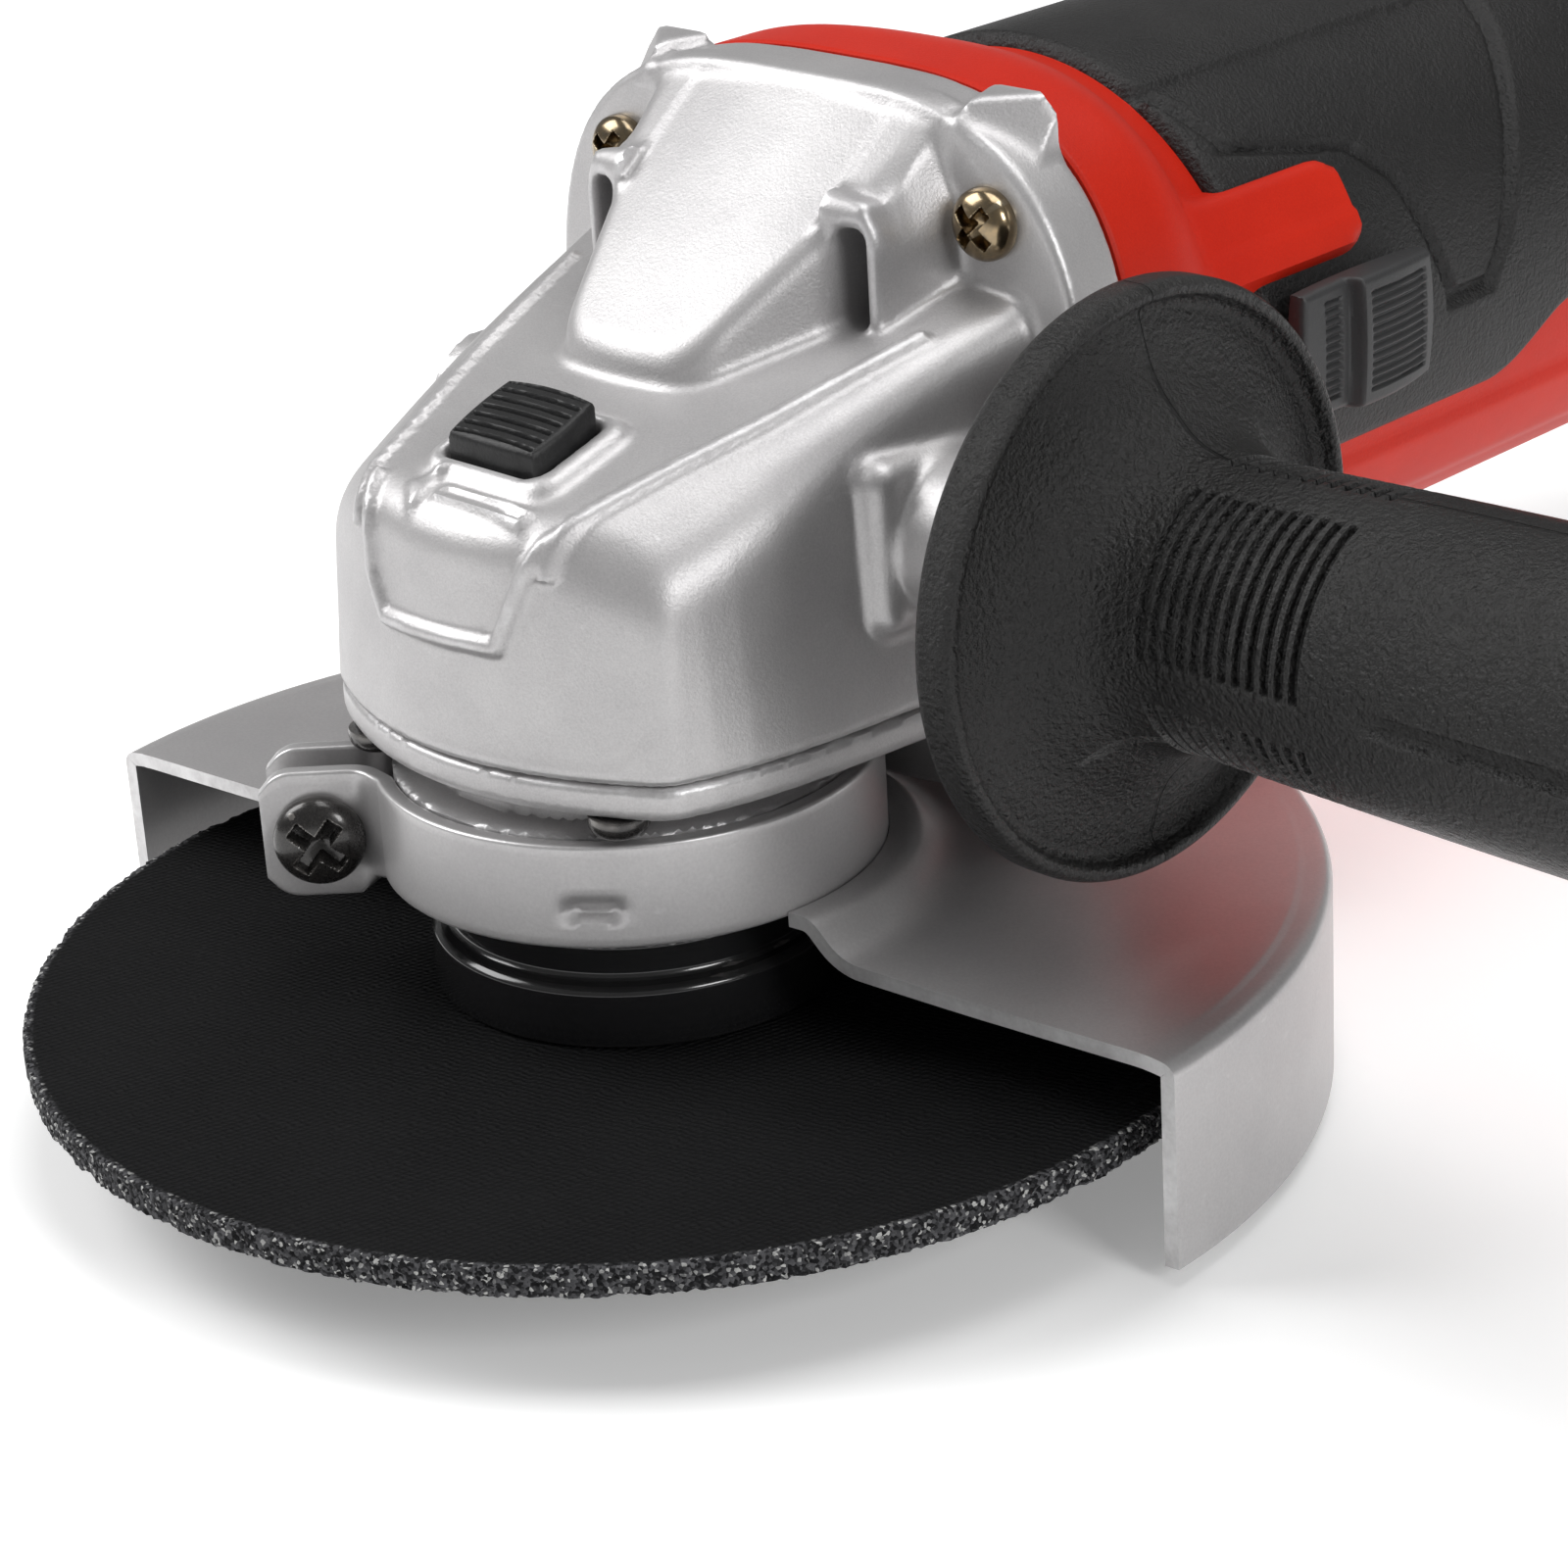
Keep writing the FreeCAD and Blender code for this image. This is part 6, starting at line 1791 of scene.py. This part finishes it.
@dataclass
class MotorHousing(Assembly):
    """The red motor housing with its collar, the soft overlay, and the slide switch."""

    collar_half: float = FLANGE_HALF
    collar_back: float = 48.5
    body_start: float = 59.5
    body_radius: float = 31.5
    wall: float = 2.4
    body_end: float = 150.0
    tab_angle: tuple[float, float] = (20.0, 38.0)
    tab_end: float = 78.5
    tab_height: float = 3.1
    overlay_front: float = 60.5
    overlay_back: float = 149.0
    overlay_height: float = 1.6
    overlay_low: float = 95.0
    overlay_dip: float = 106.0
    slider_centre: tuple[float, float] = (73.0, 52.5)
    slider_half: tuple[float, float] = (10.8, 6.9)
    slider_ribs: int = 12

    def housing(self) -> Skin:
        """The tube: squarish at the collar, round behind it, with a raised tab over each side.

        The radius at angle a is half / (|cos|^n + |sin|^n)^(1/n), and n falls from RING_POWER
        at the collar to 2 at the barrel.
        """
        front = FLANGE_BACK + 0.1
        inner = self.body_radius - self.wall
        outline = rounded([
            (self.collar_half - 0.25, front), (self.collar_half, front + 0.4, 0.3),
            (self.collar_half, self.collar_back - 4.0, 2.0),
            (self.collar_half - 0.9, self.collar_back, 2.5),
            (self.body_radius + 1.0, self.body_start - 3.0, 4.0),
            (self.body_radius, self.body_start + 1.5, 3.0),
            (self.body_radius, self.body_end - 0.6, 1.0), (self.body_radius - 0.5, self.body_end, 0.4),
            (29.6, self.body_end), (29.5, 161.6), (27.6, 161.8), (27.5, 152.0), (inner, 148.0, 1.0),
            (inner, 58.0, 2.0), (self.collar_half - 4.6, 49.0, 2.0), (self.collar_half - 4.8, front),
        ], 6)
        line = resampled(outline, 1.3)

        def shape(r: Array, y: Array, angle: Array) -> tuple[Array, Array]:
            """Squares the collar, and raises the tabs and the lower ridge on the outside.

            Args:
                r: radius.
                y: place along the motor.
                angle: angle about its axis.

            Returns:
                The new radius and place.
            """
            power = RING_POWER - (RING_POWER - 2) * ramp_between(y, 44.0, 58.0)
            outside = r > self.body_radius - 1.2
            up = np.degrees(np.arcsin(np.clip(np.cos(angle), -1, 1)))
            low, high = self.tab_angle
            across = np.minimum(up - low, high - up)
            gone = np.hypot(np.maximum(3.6 - 0.56 * across, 0), np.maximum(y - self.tab_end + 3.6, 0)) - 3.6
            tab = ramp_between(-gone, -1.0, 1.0) * ramp_between(y, 48, 54)
            ledge = 0.35 * ramp_between(up, low + 6.5, low + 7.5) * tab
            ridge = ramp_between(-22.0 - up, -1.5, 1.5) * ramp_between(up + 38.0, -8.0, 1.5)
            ridge = 0.9 * ridge * ramp_between(y, 60, 66) * ramp_between(148.0 - y, 0, 5)
            size = r * squarish(angle, power)
            reach = self.body_radius + self.tab_height
            raised = (size + (reach - size) * np.clip(tab, 0, 1)) * (size < reach)
            lifted = np.maximum(size, raised + size * (size >= reach))
            return np.where(outside, lifted - ledge + ridge, size), y

        return turned(line, Axis.Y, (0, 0, MOTOR_AXIS), 300, shape, loop=True)

    def overlay(self) -> Skin:
        """The soft overlay: a sheet wrapped over the top, dipping round the switch, with a sunk panel.

        Parameters are t from -1 to 1 across, times the local half-angle, and y along the motor.
        The rim is rolled by letting the thickness fall as a quarter ellipse in the last part.
        """
        y = np.linspace(self.overlay_front, self.overlay_back, 150)[:, None]
        t = np.linspace(-1, 1, 260)[None, :]
        dip = ramp_between(y, 64.0, 70.0) * (1 - ramp_between(y, 99.0, 114.0))
        half = self.overlay_low + (self.overlay_dip - self.overlay_low) * dip
        angle = np.radians(half * t)
        side = np.abs(np.degrees(angle))
        under_tab = ramp_between(self.tab_end - 2.0 - y, 0.0, 1.0)
        opened = ramp_between(8.0 - np.abs(side - 61.0), 0.0, 2.0) * under_tab
        ends = np.minimum(y - self.overlay_front, self.overlay_back - y)
        edge = np.minimum((1 - np.abs(t)) * half * 0.55, ends)
        lip = np.clip(edge / 1.3, 0, 1)
        thick = 0.05 + (self.overlay_height - 0.05) * np.sqrt(1 - (1 - lip) ** 2)
        ledge = self.ledge(side, y)
        thick = np.clip(thick - ledge, 0.05, None) * (1 - opened) - 0.9 * opened
        outer, under = self.body_radius + 0.03 + thick, np.full_like(thick, self.body_radius - 1.0)
        shells = []
        for r in (outer, under):
            place = (r * np.sin(angle), np.broadcast_to(y, r.shape), MOTOR_AXIS + r * np.cos(angle))
            shells.append(np.stack(place, -1))
        return sheet_metal(*shells)

    @staticmethod
    def ledge(side: Array, y: Array) -> Array:
        """Depth of the sunk panel beyond the stepped line over the overlay's sides, and of its groove.

        The line's slope is its rise over 1.8 degrees, which is about a millimetre of the barrel.

        Args:
            side: degrees from the top, either way.
            y: places along the motor.

        Returns:
            The depth, in millimetres.
        """
        across, along = (24, 30, 45, 52, 60, 84), (59.0, 62.0, 66.0, 82.0, 86.5, 91.0)
        front = np.interp(side, across, along)
        rate = np.interp(side + 0.9, across, along) - np.interp(side - 0.9, across, along)
        lean = 1 / np.sqrt(1 + rate**2)
        back = np.interp(side, (0, 40, 60, 78, 85), (121.0, 113.5, 107.0, 101.0, 97.5))
        inside = np.minimum(np.minimum((y - front) * lean, back - y), (85.0 - side) * 0.56)
        groove = 1 - ramp_between(np.abs(inside), 0.35, 1.15)
        return 0.35 * ramp_between(inside, -0.2, 0.2) * (side > 28) + 0.8 * groove * (side > 24)

    def slider(self) -> Skin:
        """The switch's slider: a raised pad with fine ribs along it, and a lower pad before it."""
        half_y, half_z = self.slider_half

        def top(y: Array, z: Array) -> Array:
            """Height of the pads: the back one stands proud, both are ribbed.

            Args:
                y: places along the slider, from its centre.
                z: places across it.

            Returns:
                The height, as a distance from the motor axis.
            """
            pitch = 2 * (half_z - 1.3) / self.slider_ribs
            ribs = 0.5 + 0.5 * np.cos(TURN * z / pitch)
            back = ramp_between(y, -3.4, -2.4)
            field = ramp_between(y, -1.6, -1.2) * ramp_between(half_y - 2.0 - y, 0, 0.4)
            field = np.maximum(field, ramp_between(y, -7.2, -6.8) * ramp_between(-4.2 - y, 0, 0.4))
            field = field * ramp_between(half_z - 1.5 - np.abs(z), 0, 0.3)
            crown = -0.012 * y**2 * (y > 0) - 0.008 * z**2
            return 37.4 - 1.6 * (1 - back) + crown - 0.42 * field * (1 - ribs)

        pad = pillow((half_y, half_z), 0.10, (110, 130), top, 33.7, 0.8)
        at_y, at_z = self.slider_centre
        upright = Matrix(((0, 0, 1, 0), (1, 0, 0, at_y), (0, 1, 0, at_z), (0, 0, 0, 1)))
        return pad.placed(upright)

    def build(self) -> None:
        """Moulds the housing, its overlay and the slider."""
        self.put("motor_housing_moulding", self.housing(), RED, ["motor_housing"], "red_plastic", sharp=40.0)
        self.put("soft_grip", self.overlay(), GRIP, ["grip_overlay"], "black_grip", sharp=60.0)
        slider = self.slider()
        self.put("switch_slider_ribbed", slider, SWITCH_PLASTIC, ["switch_slider"], "black_plastic", "switch")


@dataclass
class Rear(Assembly):
    """The rear cover and the cable gland."""

    cover_edge: float = 0.5
    gland_edge: float = 0.4

    def build(self) -> None:
        """Breaks the edges of the cover and the gland."""
        cover = softened("rear_cover", self.cover_edge)
        self.put("rear_cover_finished", cover, BLACK_PLASTIC, ["rear_cover"], "black_plastic")
        gland = softened("cable_gland", self.gland_edge)
        self.put("cable_gland_finished", gland, RUBBER, ["cable_gland"], "rubber")


# ------------------------------------------------------------------ pieces inside

SLOT_FINISHES: dict[str, Finish] = {
    "cast_aluminium": CAST,
    "guard_steel": GUARD_STEEL,
    "black_screw": BLACK_SCREW,
    "bronze_screw": BRONZE_SCREW,
    "bright_steel": BRIGHT_STEEL,
    "gear_steel": GEAR_STEEL,
    "core_steel": CORE_STEEL,
    "black_oxide": BLACK_OXIDE,
    "abrasive": ABRASIVE,
    "red_plastic": RED,
    "black_plastic": BLACK_PLASTIC,
    "black_grip": GRIP,
    "rubber": RUBBER,
    "bronze": BRONZE,
    "felt": FELT,
    "copper": COPPER,
    "carbon": CARBON,
    "capacitor_film": FILM,
}


class Inside(Assembly):
    """The CAD nodes whose shapes stay as they are: motor, gears, bearings, springs and wiring."""

    on_spindle = {
        "spindle", "spindle_bearing_inner", "spindle_bearing_outer", "spindle_bearing_balls", "gear_circlip",
    }

    def build(self) -> None:
        """Gives every CAD node that still shows the finish of its material slot."""
        for name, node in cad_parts.items():
            if node.hide_render:
                continue
            for seat in node.material_slots:
                finish = SLOT_FINISHES[seat.material.name.split(".")[0]]
                if name in self.on_spindle:
                    finish = SPINDLE_STEEL
                seat.material = finish.material()
            log.info("%s: dressed", name)


ASSEMBLIES = (GearHead, Fasteners, SpindleLock, Wheel, Guard, SideHandle, MotorHousing, Rear, Inside)


# ------------------------------------------------------------------ studio

@dataclass
class Studio:
    """The plain floor, the soft lights and the camera."""

    azimuth: float = 46.0
    elevation: float = 23.5
    roll: float = -3.6
    distance: float = 420.0
    lens: float = 95.4
    sensor: float = 36.0
    across: float = -14.06
    below: float = -17.33
    floor_gap: float = 0.5
    floor_white: float = 0.95
    floor_glow: float = 0.24
    sky: float = 0.24

    def camera(self) -> None:
        """A long lens looks down at the gear head from its front right."""
        a, e, roll = (math.radians(v) for v in (self.azimuth, self.elevation, self.roll))
        back = np.array([math.sin(a) * math.cos(e), -math.cos(a) * math.cos(e), math.sin(e)])
        right = np.array([math.cos(a), math.sin(a), 0.0])
        up = np.cross(back, right)
        r = math.cos(roll) * right + math.sin(roll) * up
        u = -math.sin(roll) * right + math.cos(roll) * up
        seat = np.stack([r, u, back])
        place = -seat.T @ np.array([self.across, self.below, -self.distance])
        lens = bpy.data.cameras.new("camera")
        lens.lens, lens.sensor_width = self.lens, self.sensor
        lens.clip_start, lens.clip_end = 0.01, 50.0
        camera = bpy.data.objects.new("camera", lens)
        camera.matrix_world = Matrix.LocRotScale(
            [v * MM for v in place], Matrix(seat.T.tolist()).to_quaternion(), None
        )
        bpy.context.scene.collection.objects.link(camera)
        bpy.context.scene.camera = camera

    def softbox(
        self, name: str, place: Colour, aim: Colour, size: float, power: float, tone: Colour = (1, 1, 1)
    ) -> None:
        """One square soft light.

        Args:
            name: the light's name.
            place: where it stands, in metres.
            aim: what it points at, in metres.
            size: its side, in metres.
            power: its power in watts.
            tone: its colour.
        """
        light = bpy.data.lights.new(name, "AREA")
        light.energy, light.size, light.color = power, size, tone
        made = bpy.data.objects.new(name, light)
        towards = (np.array(aim) - np.array(place)).tolist()
        made.location = place
        made.rotation_euler = Vector(towards).to_track_quat("-Z", "Y").to_euler()
        bpy.context.scene.collection.objects.link(made)

    def build(self) -> None:
        """Sets up the floor, the lights, the surroundings and the camera."""
        low = span("spindle", 2)[0] - self.floor_gap
        angle = np.arange(96) * TURN / 96
        rings = [np.stack([r * np.cos(angle), 60 + r * np.sin(angle), np.full(96, low)], -1)
                 for r in (1.0, 400.0, 1500.0, 6000.0)]
        skin = welded(joined([grid(np.stack(rings), False, True), fan(rings[0])]))
        mesh = bpy.data.meshes.new("floor")
        mesh.from_pydata(skin.points * MM, [], [tuple(f) for block in skin.faces for f in block.tolist()])
        floor = bpy.data.objects.new("floor", mesh)
        paint = bpy.data.materials.new("floor_paint")
        paint.use_nodes = True
        shader = paint.node_tree.nodes["Principled BSDF"]
        shader.inputs["Base Color"].default_value = (*[self.floor_white] * 3, 1.0)
        shader.inputs["Roughness"].default_value = 0.9
        shader.inputs["Specular IOR Level"].default_value = 0.1
        shader.inputs["Emission Color"].default_value = (1.0, 1.0, 1.0, 1.0)
        shader.inputs["Emission Strength"].default_value = self.floor_glow
        mesh.materials.append(paint)
        bpy.context.scene.collection.objects.link(floor)
        world = bpy.data.worlds.new("studio")
        world.use_nodes = True
        world.node_tree.nodes["Background"].inputs["Color"].default_value = (1.0, 1.0, 1.0, 1.0)
        world.node_tree.nodes["Background"].inputs["Strength"].default_value = self.sky
        bpy.context.scene.world = world
        bpy.context.scene.view_settings.view_transform = "Standard"
        self.softbox("key", (-0.75, -0.45, 0.80), (0.0, 0.0, 0.03), 0.7, 9.5)
        self.softbox("top", (0.15, 0.25, 1.1), (0.0, 0.05, 0.03), 0.8, 7.0)
        self.softbox("rim", (0.9, -0.1, 0.5), (0.05, 0.03, 0.04), 0.30, 3.4)
        self.camera()


def corners(box: Sequence) -> list[list[float]]:
    """A box's two corners as plain lists."""
    return [list(map(float, corner)) for corner in box]


def main() -> None:
    """Builds every assembly in order, then the studio."""
    logging.basicConfig(level=logging.INFO, format="%(message)s")
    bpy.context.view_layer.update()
    for assembly in ASSEMBLIES:
        assembly().build()
    Studio().build()


if __name__ == "__main__":
    main()
